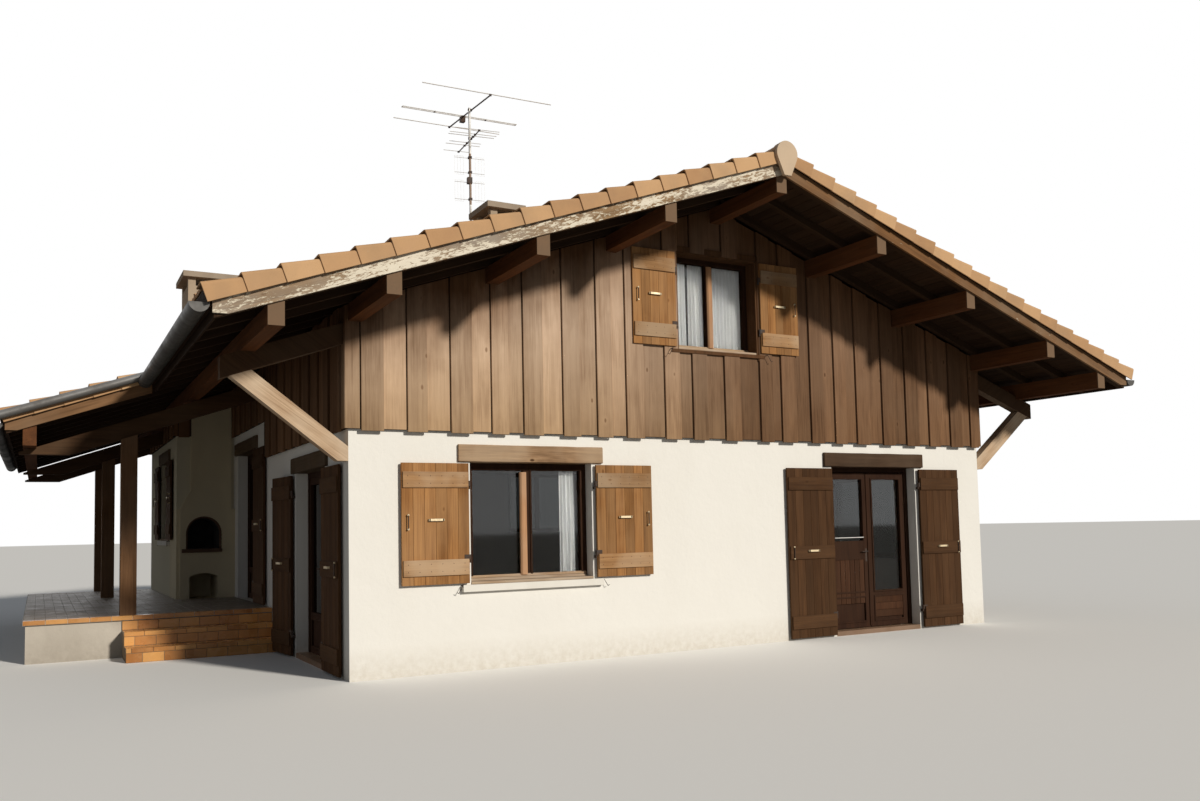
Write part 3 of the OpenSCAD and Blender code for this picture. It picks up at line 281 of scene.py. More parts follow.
def build_grain(net, inp):
    """Timber with its grain along z of Place: fibres, growth rings, knots and a tone for each board."""
    place = net.vector("ADD", inp["Place"], net.scaled((13.7, 7.1, 5.3), inp["Tone"]))
    rings = net.noise(place, (11, 11, 0.9), 4, 0.6, 0.6)
    fibres = net.noise(place, (150, 150, 3.5), 3, 0.6)
    streaks = net.noise(place, (38, 38, 0.8), 3, 0.55)
    furrows = net.noise(place, (62, 62, 1.1), 2, 0.5)
    patch = net.noise(place, 1.6, 3, 0.5)
    knots = net.cells(place, (4.6, 4.6, 2.4))
    knot = net.times(net.fall(knots, 0.045, 0.085), inp["Knots"])
    halo = net.times(net.fall(knots, 0.09, 0.20), inp["Knots"])
    colour = net.mix(net.fade(rings, 0.3, 0.7), inp["Dark"], inp["Pale"])
    for amount, tint in ((net.times(net.fade(streaks, 0.35, 0.7), 0.55), "Pale"),
                         (net.times(net.fall(fibres, 0.35, 0.65), 0.4), "Dark"),
                         (net.times(net.fall(furrows, 0.30, 0.44), 0.6), "Dark"),
                         (net.times(halo, 0.4), "Pale"),
                         (net.times(net.fade(patch, 0.38, 0.62), inp["Weathering"]), "Weather")):
        colour = net.mix(amount, colour, inp[tint])
    colour = net.scaled(colour, net.fade(inp["Tone"], 0.0, 1.0, 0.78, 1.18))
    colour = net.mix(knot, colour, net.vector("MULTIPLY", inp["Dark"], (0.8, 0.75, 0.7)))
    height = net.plus(net.times(fibres, 0.6), net.times(rings, 0.5))
    return {"Color": colour, "Height": net.minus(height, net.times(knot, 0.3)),
            "Roughness": net.fade(fibres, 0.2, 0.8, 0.72, 0.9)}


def build_render(net, inp):
    """Trowelled lime render: broad waves, coarse grit, and stains at the foot."""
    place = inp["Place"]
    waves = net.noise(place, 2.2, 3, 0.5, 0.3)
    lumps = net.noise(place, 14, 4, 0.6)
    grit = net.noise(place, 90, 3, 0.6)
    stain = net.noise(place, (1.6, 1.6, 0.6), 5, 0.6)
    foot = net.times(net.fade(net.parts(place)[2], 0.0, 0.35, 0.75, 0.0), net.fade(lumps, 0.35, 0.65, 0.4, 1.0))
    colour = inp["Wall"]
    for amount in (net.times(net.fade(stain, 0.45, 0.75), inp["Staining"]), foot,
                   net.times(net.fade(grit, 0.55, 0.75), 0.12)):
        colour = net.mix(amount, colour, inp["Stain"])
    relief = net.plus(net.times(waves, 1.3), net.times(lumps, 0.45))
    return {"Color": colour, "Height": net.plus(relief, net.times(grit, 0.10))}


def build_clay(net, inp):
    """Fired clay: kiln shades by piece, soot, pale bloom and lichen spots."""
    place = inp["Place"]
    cloud = net.noise(place, 5, 4, 0.55)
    speck = net.noise(place, 120, 3, 0.6)
    bloom = net.noise(place, 1.7, 4, 0.6)
    spot = net.times(net.fall(net.cells(place, 22), 0.05, 0.16), net.fade(bloom, 0.5, 0.62))
    colour = net.mix(net.fade(inp["Tone"], 0.0, 1.0), inp["Dark"], inp["Pale"])
    for amount, tint in ((net.times(net.fade(cloud, 0.35, 0.7), 0.4), inp["Pale"]),
                         (net.times(net.fade(speck, 0.55, 0.7), 0.25), inp["Dark"]),
                         (net.times(net.fade(bloom, 0.45, 0.75), inp["Soiling"]), inp["Soil"]),
                         (net.times(spot, inp["Soiling"]), (0.42, 0.40, 0.30))):
        colour = net.mix(amount, colour, tint)
    return {"Color": colour, "Height": net.plus(cloud, net.times(speck, 0.3)),
            "Roughness": net.fade(cloud, 0.3, 0.7, 0.62, 0.85)}


def build_dirt(net, inp):
    """Uneven dust or tarnish laid over a colour."""
    cloud = net.noise(inp["Place"], inp["Scale"], 5, 0.6, 0.4)
    fine = net.noise(inp["Place"], net.times(inp["Scale"], 9.0), 3, 0.6)
    mask = net.times(net.fade(net.plus(cloud, net.times(fine, 0.3)), 0.5, 0.85), inp["Amount"])
    return {"Color": net.mix(mask, inp["Base"], inp["Dirt"]), "Mask": mask, "Height": cloud}


grain_group = shader_group(
    "timber_grain", {"Tone": (FLT, 0.5), "Pale": (COL, (0.3, 0.2, 0.1)), "Dark": (COL, (0.1, 0.06, 0.03)),
                     "Weather": (COL, (0.3, 0.25, 0.2)), "Weathering": (FLT, 0.3), "Knots": (FLT, 0.6)},
    ("Color", "Height", "Roughness"), build_grain)
render_group = shader_group(
    "trowelled_render", {"Wall": (COL, (0.8, 0.77, 0.7)), "Stain": (COL, (0.5, 0.45, 0.38)),
                         "Staining": (FLT, 0.35)},
    ("Color", "Height"), build_render)
clay_group = shader_group(
    "fired_clay", {"Tone": (FLT, 0.5), "Pale": (COL, (0.6, 0.35, 0.18)), "Dark": (COL, (0.4, 0.2, 0.1)),
                   "Soil": (COL, (0.2, 0.17, 0.13)), "Soiling": (FLT, 0.3)},
    ("Color", "Height", "Roughness"), build_clay)
dirt_group = shader_group(
    "tarnish", {"Base": (COL, (0.3, 0.3, 0.3)), "Dirt": (COL, (0.15, 0.12, 0.1)), "Scale": (FLT, 6.0),
                "Amount": (FLT, 0.6)},
    ("Color", "Mask", "Height"), build_dirt)


# ---------------------------------------------------------------- finishes
class Finish(Net):
    """The net of a new material and its shader; a constant's name has _ for a space."""

    def __init__(self, name, roughness=0.7, metallic=0.0, **constants):
        self.material = bpy.data.materials.new(name)
        self.material.use_nodes = True
        super().__init__(self.material.node_tree)
        self.shader = self.tree.nodes["Principled BSDF"]
        for key, value in {"Roughness": roughness, "Metallic": metallic, **constants}.items():
            self.shader.inputs[key.replace("_", " ")].default_value = value

    def complete(self, colour, roughness=None, height=None, strength=0.5, relief=0.004):
        """Feeds the shader its colour, its roughness and its bump, and gives back the material."""
        self.feed(self.shader.inputs["Base Color"], colour)
        if roughness is not None:
            self.feed(self.shader.inputs["Roughness"], roughness)
        if height is not None:
            bump = self.add("ShaderNodeBump", {"Strength": strength, "Distance": relief, "Height": height})
            self.feed(self.shader.inputs["Normal"], bump.outputs[0])
        return self.material


def along_slope(net):
    """Object coordinates turned on both slopes so that the grain runs down the roof."""
    x, y, z = net.parts(net.place())
    return net.turned(net.turned(net.joined(net.math("ABSOLUTE", x), y, z), (0, -PITCH, 0)), (0, -math.pi / 2, 0))


def timber(name, pale, dark, weather, weathering=0.4, knots=0.6, turn=ALONG_Z, slope=False, relief=0.004,
           toned=True, ends=None):
    """Wood with its grain along one axis or down the roof; its ends may be of another tint up to a place in y."""
    net = Finish(name, Specular_IOR_Level=0.08)
    place = along_slope(net) if slope else net.turned(net.place(), turn)
    grain = net.group(grain_group, Place=place, Tone=net.tone() if toned else 0.5, Pale=pale, Dark=dark,
                      Weather=weather, Weathering=weathering, Knots=knots)
    colour = grain["Color"]
    if ends:
        low, high, tint = ends
        colour = net.mix(net.times(net.fall(net.parts(net.place())[1], low, high), 0.8), colour, tint)
    return net.complete(colour, grain["Roughness"], grain["Height"], 0.5, relief)


def cladding_finish():
    """Boards: silvered by the sun on the left, paler towards the top as a painted sheen, brown towards the foot;
    dark walnut to the right, aloft under the eave and on the walls other than the front, partly sheltered wood and
    partly painted shade.
    """
    net = Finish("cladding_boards", Specular_IOR_Level=0.08)
    place = net.place()
    x, y, z = net.parts(place)
    below = net.minus(net.minus(RIDGE, net.times(net.math("ABSOLUTE", x), SLOPE)), z)
    wander = net.times(net.minus(net.noise(place, (2.2, 2.2, 0.9), 4, 0.6), 0.5), 1.1)
    # Mask of bleached, sunlit boards. It falls away just under the eave, towards the right and off the front face,
    # as painted shade of the eave, of trees and of the shaded sides, along with darker sheltered wood.
    lit_and_bleached = net.times(net.fade(net.plus(below, wander), 0.05, 0.95),
                         net.fade(net.plus(x, wander), -2.3, 0.5, 1.0, 0.13))
    lit_and_bleached = net.times(lit_and_bleached, net.fade(y, WALL_F, WALL_F + 0.15, 1.0, 0.10))
    # Paler towards the top of the wall as a painted sheen, browner towards the foot.
    foot = net.fall(net.plus(z, net.times(wander, 0.6)), 2.55, 3.9)
    pale = net.mix(foot, (0.66, 0.49, 0.36), (0.50, 0.335, 0.195))
    dark = net.mix(foot, (0.36, 0.235, 0.15), (0.22, 0.13, 0.07))
    grain = net.group(grain_group, Place=place, Tone=net.tone(),
                      # Where the mask falls away, the dark walnut tints are painted shade, with some real
                      # sheltered wood.
                      Pale=net.mix(lit_and_bleached, (0.20, 0.098, 0.045), pale),
                      Dark=net.mix(lit_and_bleached, (0.070, 0.031, 0.015), dark),
                      Weather=net.mix(lit_and_bleached, (0.15, 0.078, 0.040), pale), Weathering=0.5, Knots=0.8)
    return net.complete(grain["Color"], grain["Roughness"], grain["Height"])


def strut_finish():
    """Weathered struts, grained along their slope, under outrigger beams that follow the roof, painted near black
    as shade under the roof.
    """
    net = Finish("struts", Specular_IOR_Level=0.08)
    x, y, z = net.parts(net.place())
    out = net.math("ABSOLUTE", x)
    under_roof = net.minus(net.plus(z, net.times(out, SLOPE)), RIDGE)
    # Mask of the outrigger beams. Their near-black tints below are painted shade of the roof over them.
    beam = net.fade(under_roof, BEAM_FOOT - 0.004, BEAM_FOOT + 0.001)
    c, s = math.cos(STRUT_TILT), math.sin(STRUT_TILT)
    along, across = net.plus(net.times(out, c), net.times(z, s)), net.minus(net.times(z, c), net.times(out, s))
    grain = net.group(grain_group, Place=net.joined(across, y, along),
                      Pale=net.mix(beam, (0.66, 0.48, 0.32), (0.10, 0.052, 0.026)),
                      Dark=net.mix(beam, (0.27, 0.16, 0.09), (0.040, 0.020, 0.011)),
                      Weather=net.mix(beam, (0.70, 0.58, 0.44), (0.09, 0.055, 0.032)), Weathering=0.5, Tone=0.5)
    return net.complete(grain["Color"], grain["Roughness"], grain["Height"], 0.5, 0.006)


def clay(name, pale, dark, soil, soiling=0.3, relief=0.003, gloss=None, toned=True):
    """Fired clay; a glazed one has a gloss, which is its least roughness."""
    net = Finish(name, Specular_IOR_Level=0.15 if gloss is None else 0.5)
    fired = net.group(clay_group, Place=net.place(), Tone=net.tone() if toned else 0.5, Pale=pale, Dark=dark,
                      Soil=soil, Soiling=soiling)
    rough = fired["Roughness"]
    if gloss is not None:
        rough = net.fade(rough, 0.62, 0.85, gloss, gloss + 0.25)
    return net.complete(fired["Color"], rough, fired["Height"], 0.35, relief)


def tarnished(name, base, dirt, scale=6.0, amount=0.6, roughness=0.5, metallic=0.0, relief=0.001):
    net = Finish(name, roughness, metallic)
    dirty = net.group(dirt_group, Place=net.place(), Base=base, Dirt=dirt, Scale=scale, Amount=amount)
    rough = net.fade(dirty["Mask"], 0.0, 0.6, roughness, min(1, roughness + 0.3))
    return net.complete(dirty["Color"], rough, dirty["Height"], 0.3, relief)


def rendered(name, wall, stain, staining, relief=0.012, smoke_and_shade=None):
    """Render on walls; the walls inside the porch may have a darker, yellower tint, partly smoke stain and partly
    painted shade under the porch roof.
    """
    net = Finish(name, 0.92, Specular_IOR_Level=0.1)
    if smoke_and_shade:
        # Inside the porch the render turns darker and yellower: partly smoke stain, partly painted shade of the
        # porch roof.
        x, y, _ = net.parts(net.place())
        porch = net.times(net.fall(x, WALL_L - 0.02, WALL_L - 0.002),
                          net.times(net.fade(y, -2.3, -0.4), net.fall(y, WALL_B - 0.10, WALL_B - 0.05)))
        wall = net.mix(porch, wall, smoke_and_shade)
    coat = net.group(render_group, Place=net.place(), Wall=wall, Stain=stain, Staining=staining)
    return net.complete(coat["Color"], None, coat["Height"], 0.6, relief)


def flaking_paint(name, paint, bare, bare_dark, coverage, bare_right=0.0):
    """Old white paint that flakes off in streaks along the board; the right board is browner and barer, and its
    wood darker, partly as painted tree shade.
    """
    net = Finish(name, 0.7, Specular_IOR_Level=0.2)
    place = along_slope(net)
    grain = net.group(grain_group, Place=place, Pale=bare, Dark=bare_dark, Weather=(0.40, 0.36, 0.31),
                      Weathering=0.6, Knots=0.4, Tone=0.5)
    flakes = net.noise(place, (46, 46, 13), 6, 0.72, 0.6)
    large = net.noise(place, (7, 7, 1.3), 4, 0.6)
    right = net.fade(net.parts(net.place())[0], 0.0, 0.02)
    level = net.minus(net.plus(net.times(flakes, 0.7), net.times(large, 0.45)), net.times(right, bare_right))
    # On the right the wood is darkened: partly browner bare wood, partly painted tree shade.
    wood = net.mix(right, grain["Color"], net.vector("MULTIPLY", grain["Color"], (0.62, 0.47, 0.34)))
    mask = net.fade(level, coverage, coverage + 0.035)
    worn = tuple(c * w for c, w in zip(paint, (0.86, 0.85, 0.80)))
    tint = net.mix(net.fade(large, 0.35, 0.7), worn, paint)
    return net.complete(net.mix(mask, wood, tint), net.fade(mask, 0.0, 1.0, 0.85, 0.55),
                        net.plus(net.times(mask, 0.6), grain["Height"]), 0.5, 0.002)


def glass_finish():
    """Clear panes in front, and panes in the walls farther back tinted nearly black as painted shade of the dark
    rooms behind them.
    """
    net = Finish("window_pane", 0.03, Transmission_Weight=1.0, IOR=1.45)
    # Panes behind the front wall are tinted nearly black: painted shade of the rooms seen through them.
    far = net.fade(net.parts(net.place())[1], WALL_F + 0.3, WALL_F + 0.5)
    return net.complete(net.mix(far, (0.93, 0.945, 0.94), (0.012, 0.014, 0.014)))


def cloth_finish(name, colour):
    net = Finish(name, 0.9, Sheen_Weight=0.2)
    place = net.place()
    # Darker streaks down the cloth are painted shade in its folds.
    fold = net.noise(place, (14, 14, 1.0), 3, 0.5)
    fold_shade = tuple(c * w for c, w in zip(colour, (0.82, 0.83, 0.86)))
    return net.complete(net.mix(net.fade(fold, 0.3, 0.7), fold_shade, colour), None,
                        net.noise(place, (300, 300, 220), 2, 0.5), 0.3, 0.0006)


SILL_WOOD = (0.46, 0.33, 0.21), (0.24, 0.15, 0.09), (0.48, 0.40, 0.32), 0.6, 0.3
GOLDEN_BATTEN = (0.44, 0.25, 0.115), (0.20, 0.10, 0.042), (0.46, 0.33, 0.215), 0.75, 0.6

# The porch tint of the white render is partly smoke stain and partly painted shade.
WHITE_RENDER = rendered("white_render", (0.82, 0.80, 0.755), (0.60, 0.55, 0.47), 0.10, smoke_and_shade=(0.58, 0.53, 0.40))
OVEN_RENDER = rendered("oven_render", (0.62, 0.54, 0.38), (0.44, 0.37, 0.25), 0.3)
CHIMNEY_RENDER = rendered("chimney_render", (0.42, 0.33, 0.24), (0.22, 0.17, 0.12), 0.6, 0.014)
SILL_STONE = rendered("sill_stone", (0.78, 0.75, 0.69), (0.5, 0.45, 0.38), 0.3, 0.004)
CAP_SLAB = rendered("cap_slab", (0.36, 0.29, 0.22), (0.16, 0.125, 0.095), 0.6, 0.006)
LEDGE_STONE = rendered("ledge_stone", (0.13, 0.075, 0.05), (0.06, 0.04, 0.03), 0.6, 0.005)
JOINT_MORTAR = rendered("joint_mortar", (0.34, 0.26, 0.18), (0.2, 0.15, 0.1), 0.5, 0.003)
TERRACE_WALL = rendered("terrace_wall", (0.55, 0.50, 0.43), (0.34, 0.30, 0.25), 0.5)
BOARDS = cladding_finish()
# Near-black backing behind the boards and under the tiles: painted shade in the gaps where it shows.
SHADOW_BACKING = timber("boarding_back", (0.045, 0.028, 0.018), (0.02, 0.012, 0.008), (0.04, 0.03, 0.02), 0.3, 0.2)
BEAMS_X = timber("beams_across", (0.105, 0.055, 0.027), (0.042, 0.021, 0.011), (0.11, 0.07, 0.042), 0.4, 0.5,
                 ALONG_X, toned=False, relief=0.006)
BEAM_ENDS = VERGE_F + 0.032, VERGE_F + 0.048, (0.20, 0.135, 0.085)
BEAMS_Y = timber("beams_lengthwise", (0.175, 0.066, 0.024), (0.060, 0.023, 0.010), (0.14, 0.066, 0.034), 0.3, 0.5,
                 ALONG_Y, toned=False, relief=0.006, ends=BEAM_ENDS)
BEAMS_Z = timber("posts_upright", (0.20, 0.105, 0.052), (0.085, 0.043, 0.021), (0.21, 0.135, 0.085), 0.4, 0.5,
                 toned=False, relief=0.006)
LINTEL_X = timber("lintel_across", (0.40, 0.25, 0.14), (0.10, 0.053, 0.027), (0.50, 0.38, 0.26), 0.45, 1.0,
                  ALONG_X, relief=0.008)
LINTEL_DARK = timber("lintel_across_dark", (0.105, 0.062, 0.037), (0.042, 0.025, 0.015), (0.12, 0.08, 0.052), 0.5,
                     0.4, ALONG_X, relief=0.008)
LINTEL_Y = timber("lintel_lengthwise", (0.135, 0.09, 0.052), (0.06, 0.036, 0.021), (0.15, 0.11, 0.075), 0.5, 0.4,
                  ALONG_Y, relief=0.008)
SILL_WOOD_X = timber("sill_wood_across", *SILL_WOOD, ALONG_X)
SILL_WOOD_Y = timber("sill_wood_lengthwise", *SILL_WOOD, ALONG_Y)
# Rafters, sarking and fascias: dark brown wood, darkened further as painted shade under the roof.
RAFTERS = timber("rafters_sloped", (0.060, 0.032, 0.017), (0.025, 0.014, 0.008), (0.06, 0.04, 0.026), 0.3, 0.3,
                 slope=True, toned=False)
SARKING = timber("sarking_boards", (0.058, 0.031, 0.017), (0.024, 0.013, 0.008), (0.05, 0.033, 0.021), 0.3, 0.5,
                 ALONG_Y)
STRUTS = strut_finish()
SHUTTER_GOLD = timber("shutter_golden", (0.43, 0.215, 0.078), (0.15, 0.060, 0.020), (0.38, 0.22, 0.105))
SHUTTER_BROWN = timber("shutter_brown", (0.098, 0.046, 0.020), (0.036, 0.017, 0.008), (0.09, 0.048, 0.024), 0.35,
                       0.35)
BATTEN_X = timber("batten_across", *GOLDEN_BATTEN, ALONG_X)
BATTEN_GOLD_Y = timber("batten_golden_lengthwise", *GOLDEN_BATTEN, ALONG_Y)
BATTEN_Y = timber("batten_lengthwise", (0.105, 0.052, 0.024), (0.042, 0.021, 0.010), (0.10, 0.058, 0.032), 0.4,
                  0.4, ALONG_Y)
BATTEN_DARK = timber("batten_brown", (0.10, 0.048, 0.021), (0.040, 0.019, 0.009), (0.095, 0.052, 0.027), 0.35, 0.4,
                     ALONG_X)
FRAME_WOOD = timber("window_wood", (0.050, 0.022, 0.012), (0.022, 0.010, 0.006), (0.05, 0.027, 0.016), 0.3, 0.1,
                    toned=False, relief=0.002)
MULLION_WOOD = timber("mullion_wood", (0.56, 0.31, 0.165), (0.30, 0.15, 0.075), (0.52, 0.34, 0.22), 0.5, 0.1,
                      toned=False, relief=0.002)
PANEL_WOOD = timber("door_panels", (0.080, 0.034, 0.017), (0.034, 0.015, 0.008), (0.08, 0.042, 0.024), 0.3, 0.1,
                    relief=0.002)
CASING = timber("gable_casing", (0.16, 0.075, 0.034), (0.065, 0.030, 0.014), (0.15, 0.085, 0.045), 0.3, 0.3)
PAINTED_BARGE = flaking_paint("flaking_white_paint", (0.74, 0.67, 0.55), (0.40, 0.26, 0.14), (0.15, 0.088, 0.045),
                              0.555, bare_right=0.16)
BARE_BARGE = timber("bare_bargeboard", (0.30, 0.165, 0.08), (0.13, 0.068, 0.033), (0.28, 0.185, 0.115), slope=True,
                    toned=False)
ROOF_CLAY = clay("roof_clay", (0.52, 0.30, 0.155), (0.37, 0.195, 0.095), (0.22, 0.165, 0.11), 0.35)
VERGE_CLAY = clay("verge_clay", (0.58, 0.36, 0.19), (0.40, 0.22, 0.105), (0.27, 0.185, 0.115), 0.45)
RIDGE_SHIELD = clay("ridge_shield", (0.62, 0.48, 0.345), (0.50, 0.37, 0.25), (0.36, 0.30, 0.23), 0.4, toned=False)
GLAZED = clay("glazed_tile", (0.74, 0.38, 0.12), (0.36, 0.135, 0.035), (0.24, 0.15, 0.09), 0.25, 0.002, 0.18)
GLAZED_GREY = clay("glazed_floor_tile", (0.17, 0.135, 0.105), (0.11, 0.085, 0.065), (0.10, 0.088, 0.07), 0.3,
                   0.0006, 0.38)
ROOM_FLOOR = clay("room_floor", (0.25, 0.15, 0.09), (0.17, 0.1, 0.06), (0.12, 0.09, 0.06), 0.3, 0.002, 0.35,
                  toned=False)
ZINC = tarnished("gutter_zinc", (0.085, 0.082, 0.078), (0.035, 0.03, 0.026), 1.6, 0.6, 0.40, 0.5, 0.0002)
PIPE_ZINC = tarnished("pipe_zinc", (0.17, 0.165, 0.16), (0.08, 0.07, 0.06), 2.5, 0.6, 0.42, 0.5, 0.0002)
FLASHING = tarnished("lead_flashing", (0.12, 0.12, 0.12), (0.06, 0.058, 0.055), 7, 0.6, 0.6, 0.3)
RUSTED = tarnished("rusted_tube", (0.30, 0.17, 0.105), (0.40, 0.36, 0.31), 26, 0.9, 0.7, 0.1)
IRON = tarnished("black_iron", (0.035, 0.03, 0.028), (0.12, 0.06, 0.03), 12, 0.5, 0.55, 0.7)
BRASS = tarnished("worn_brass", (0.80, 0.66, 0.43), (0.42, 0.31, 0.18), 20, 0.5, 0.35, 0.25)
ALUMINIUM = tarnished("aerial_metal", (0.66, 0.65, 0.63), (0.34, 0.31, 0.27), 9, 0.5, 0.45, 0.25)
SOOT = tarnished("oven_lining", (0.035, 0.03, 0.027), (0.012, 0.011, 0.010), 4, 0.8, 0.9)
PANE = glass_finish()
CURTAIN = cloth_finish("curtain_cloth", (0.93, 0.925, 0.91))

CAD_FINISHES = {
    WHITE_RENDER: ("front_wall", "left_wall", "right_wall", "back_wall", "wall_heads", "annex_wall"),
    OVEN_RENDER: ("oven_breast",),
    CHIMNEY_RENDER: ("chimney_stacks",),
    SILL_STONE: ("window_sills",),
    CAP_SLAB: ("chimney_caps",),
    SHADOW_BACKING: ("front_gable", "back_gable", "left_upper_wall", "right_upper_wall", "annex_upper_wall"),
    BEAMS_Y: ("purlins",),
    BEAMS_X: ("porch_beams",),
    BEAMS_Z: ("porch_posts",),
    RAFTERS: ("left_rafters", "right_rafters"),
    SARKING: ("fascias",),
    STRUTS: ("corner_brackets",),
    PAINTED_BARGE: ("bargeboards",),
    BARE_BARGE: ("porch_bargeboard",),
    RIDGE_SHIELD: ("ridge_ends",),
    ZINC: ("gutters",),
    PIPE_ZINC: ("verge_pipe",),
    IRON: ("shutter_hinges",),
    ALUMINIUM: ("aerial_mast", "aerials"),
    TERRACE_WALL: ("porch_floor",),
    ROOM_FLOOR: ("floor_slab", "upper_floor"),
    FRAME_WOOD: ("window_frames", "door_frames", "side_door_leaves", "french_leaf_left", "french_leaf_right"),
    PANE: ("window_glass", "side_door_glass", "french_glass_left", "french_glass_right"),
}


def finish_cad_nodes():
    for material, names in CAD_FINISHES.items():
        for name in names:
            for slot in nodes[name].material_slots:
                slot.material = material


# ---------------------------------------------------------------- repeated pieces
def rows_tree():
    """Sets copies of a piece out in rows and columns, each with its own tone."""
    tree = bpy.data.node_groups.new("rows_of_pieces", "GeometryNodeTree")
    kinds = {"Geometry": "Geometry", "Piece": "Object", "Columns": "Int", "Rows": "Int", "Start": "Vector",
             "Column step": "Vector", "Row step": "Vector", "Turn": "Vector", "Looseness": "Float",
             "Slack turn": "Float", "Seed": "Int", "Finish": "Material"}
    for label, kind in kinds.items():
        tree.interface.new_socket(label, in_out="INPUT", socket_type="NodeSocket" + kind)
    tree.interface.new_socket("Geometry", in_out="OUTPUT", socket_type="NodeSocketGeometry")
    net = Net(tree)
    inp = net.add("NodeGroupInput").outputs
    index = net.add("GeometryNodeInputIndex").outputs[0]
    row = net.math("FLOOR", net.math("DIVIDE", net.plus(index, 0.5), inp["Columns"]))
    column = net.minus(index, net.times(row, inp["Columns"]))

    def scatter(amount, seed_shift):
        """A random vector for each copy."""
        made = net.add("FunctionNodeRandomValue", data_type="FLOAT_VECTOR")
        for key, value in {0: (-1, -1, -1), 1: (1, 1, 1), "ID": index,
                           "Seed": net.plus(inp["Seed"], seed_shift)}.items():
            net.feed(made.inputs[key], value)
        return net.scaled(made.outputs[0], amount)

    place = inp["Start"]
    for move in (net.scaled(inp["Column step"], column), net.scaled(inp["Row step"], row),
                 scatter(inp["Looseness"], 1)):
        place = net.vector("ADD", place, move)
    points = net.add("GeometryNodePoints", {"Count": net.times(inp["Columns"], inp["Rows"]), "Position": place})
    turn = net.vector("ADD", inp["Turn"], scatter(inp["Slack turn"], 2))
    rotation = net.add("FunctionNodeEulerToRotation", {0: turn}).outputs[0]
    piece = net.add("GeometryNodeObjectInfo", {"Object": inp["Piece"]}).outputs["Geometry"]
    placed = net.add("GeometryNodeInstanceOnPoints", {"Points": points.outputs[0], "Instance": piece,
                                                      "Rotation": rotation}).outputs[0]
    tone = net.add("FunctionNodeRandomValue", {"ID": index, "Seed": inp["Seed"]}, data_type="FLOAT").outputs[1]
    toned = net.add("GeometryNodeStoreNamedAttribute", {"Geometry": placed, "Name": "tone"}, data_type="FLOAT",
                    domain="INSTANCE")
    net.feed([s for s in toned.inputs if s.name == "Value" and s.enabled][0], tone)
    real = net.add("GeometryNodeRealizeInstances", {"Geometry": toned.outputs[0]}).outputs[0]
    done = net.add("GeometryNodeSetMaterial", {"Geometry": real, "Material": inp["Finish"]}).outputs[0]
    net.add("NodeGroupOutput", {0: done})
    return tree


ROW_TREE = rows_tree()


def lay_rows(block, values):
    """The mesh of a block laid out by the values of the rows tree; the block itself is used up."""
    host = in_scene("rows_host", bpy.data.meshes.new("rows_host"))
    made = host.modifiers.new("Rows", "NODES")
    made.node_group = ROW_TREE
    for item in ROW_TREE.interface.items_tree:
        if item.item_type == "SOCKET" and item.in_out == "INPUT" and item.name in values:
            made[item.identifier] = values[item.name]
    graph = bpy.context.evaluated_depsgraph_get()
    graph.update()
    mesh = bpy.data.meshes.new_from_object(host.evaluated_get(graph), preserve_all_data_layers=True,
                                           depsgraph=graph)
    bpy.data.objects.remove(host)
    bpy.data.objects.remove(block)
    return mesh


def pattern(points, faces):
    """A piece that is only copied."""
    mesh = new_mesh("pattern", points, faces)
    outwards(mesh)
    return in_scene("pattern", mesh)


def chamfered(x0, x1, y0, y1, z0, z1, c):
    """Points and faces of a block with cut edges."""
    low, high = (x0, y0, z0), (x1, y1, z1)
    index, points = {}, []
    corners = [(i, j, k) for i in (0, 1) for j in (0, 1) for k in (0, 1)]
    for corner in corners:
        for axis in range(3):
            index[corner, axis] = len(points)
            points.append(tuple((high[a] if corner[a] else low[a]) + (0 if a == axis else -c if corner[a] else c)
                                for a in range(3)))
    faces = [[index[corner, a] for a in range(3)] for corner in corners]
    for axis in range(3):
        u, v = [a for a in range(3) if a != axis]

        def corner_at(side, i, j):
            place = {axis: side, u: i, v: j}
            return tuple(place[a] for a in range(3))

        for side in (0, 1):
            faces.append([index[corner_at(side, i, j), axis] for i, j in ((0, 0), (1, 0), (1, 1), (0, 1))])
        for i in (0, 1):
            for j in (0, 1):
                a, b = corner_at(0, i, j), corner_at(1, i, j)
                faces.append([index[a, u], index[b, u], index[b, v], index[a, v]])
    return points, faces


# ---------------------------------------------------------------- roof
def slope_point(side, u, w, y):
    """A point u down a slope from the ridge and w above its plane; side is -1 left, 1 right."""
    return (side * (u * COS + w * SIN), y, RIDGE - u * SIN + w * COS)


def up_the_slope(block, finish, side, u, w, y0, y1, columns, rows, step, loose=0.0, slack=0.0, seed=1):
    """Lays a block in rows up one slope of the roof, from u down it and w above the rafters' underside."""
    left = side < 0
    across = (y1 - y0) / columns
    rise = Vector(slope_point(side, u - step, w, 0)) - Vector(slope_point(side, u, w, 0))
    return lay_rows(block, {
        "Piece": block, "Columns": columns, "Rows": rows, "Start": slope_point(side, u, w, y0 if left else y1),
        "Column step": (0, across if left else -across, 0), "Row step": tuple(rise),
        "Turn": (0, -PITCH, 0 if left else math.pi), "Looseness": loose, "Slack turn": slack, "Seed": seed,
        "Finish": finish})


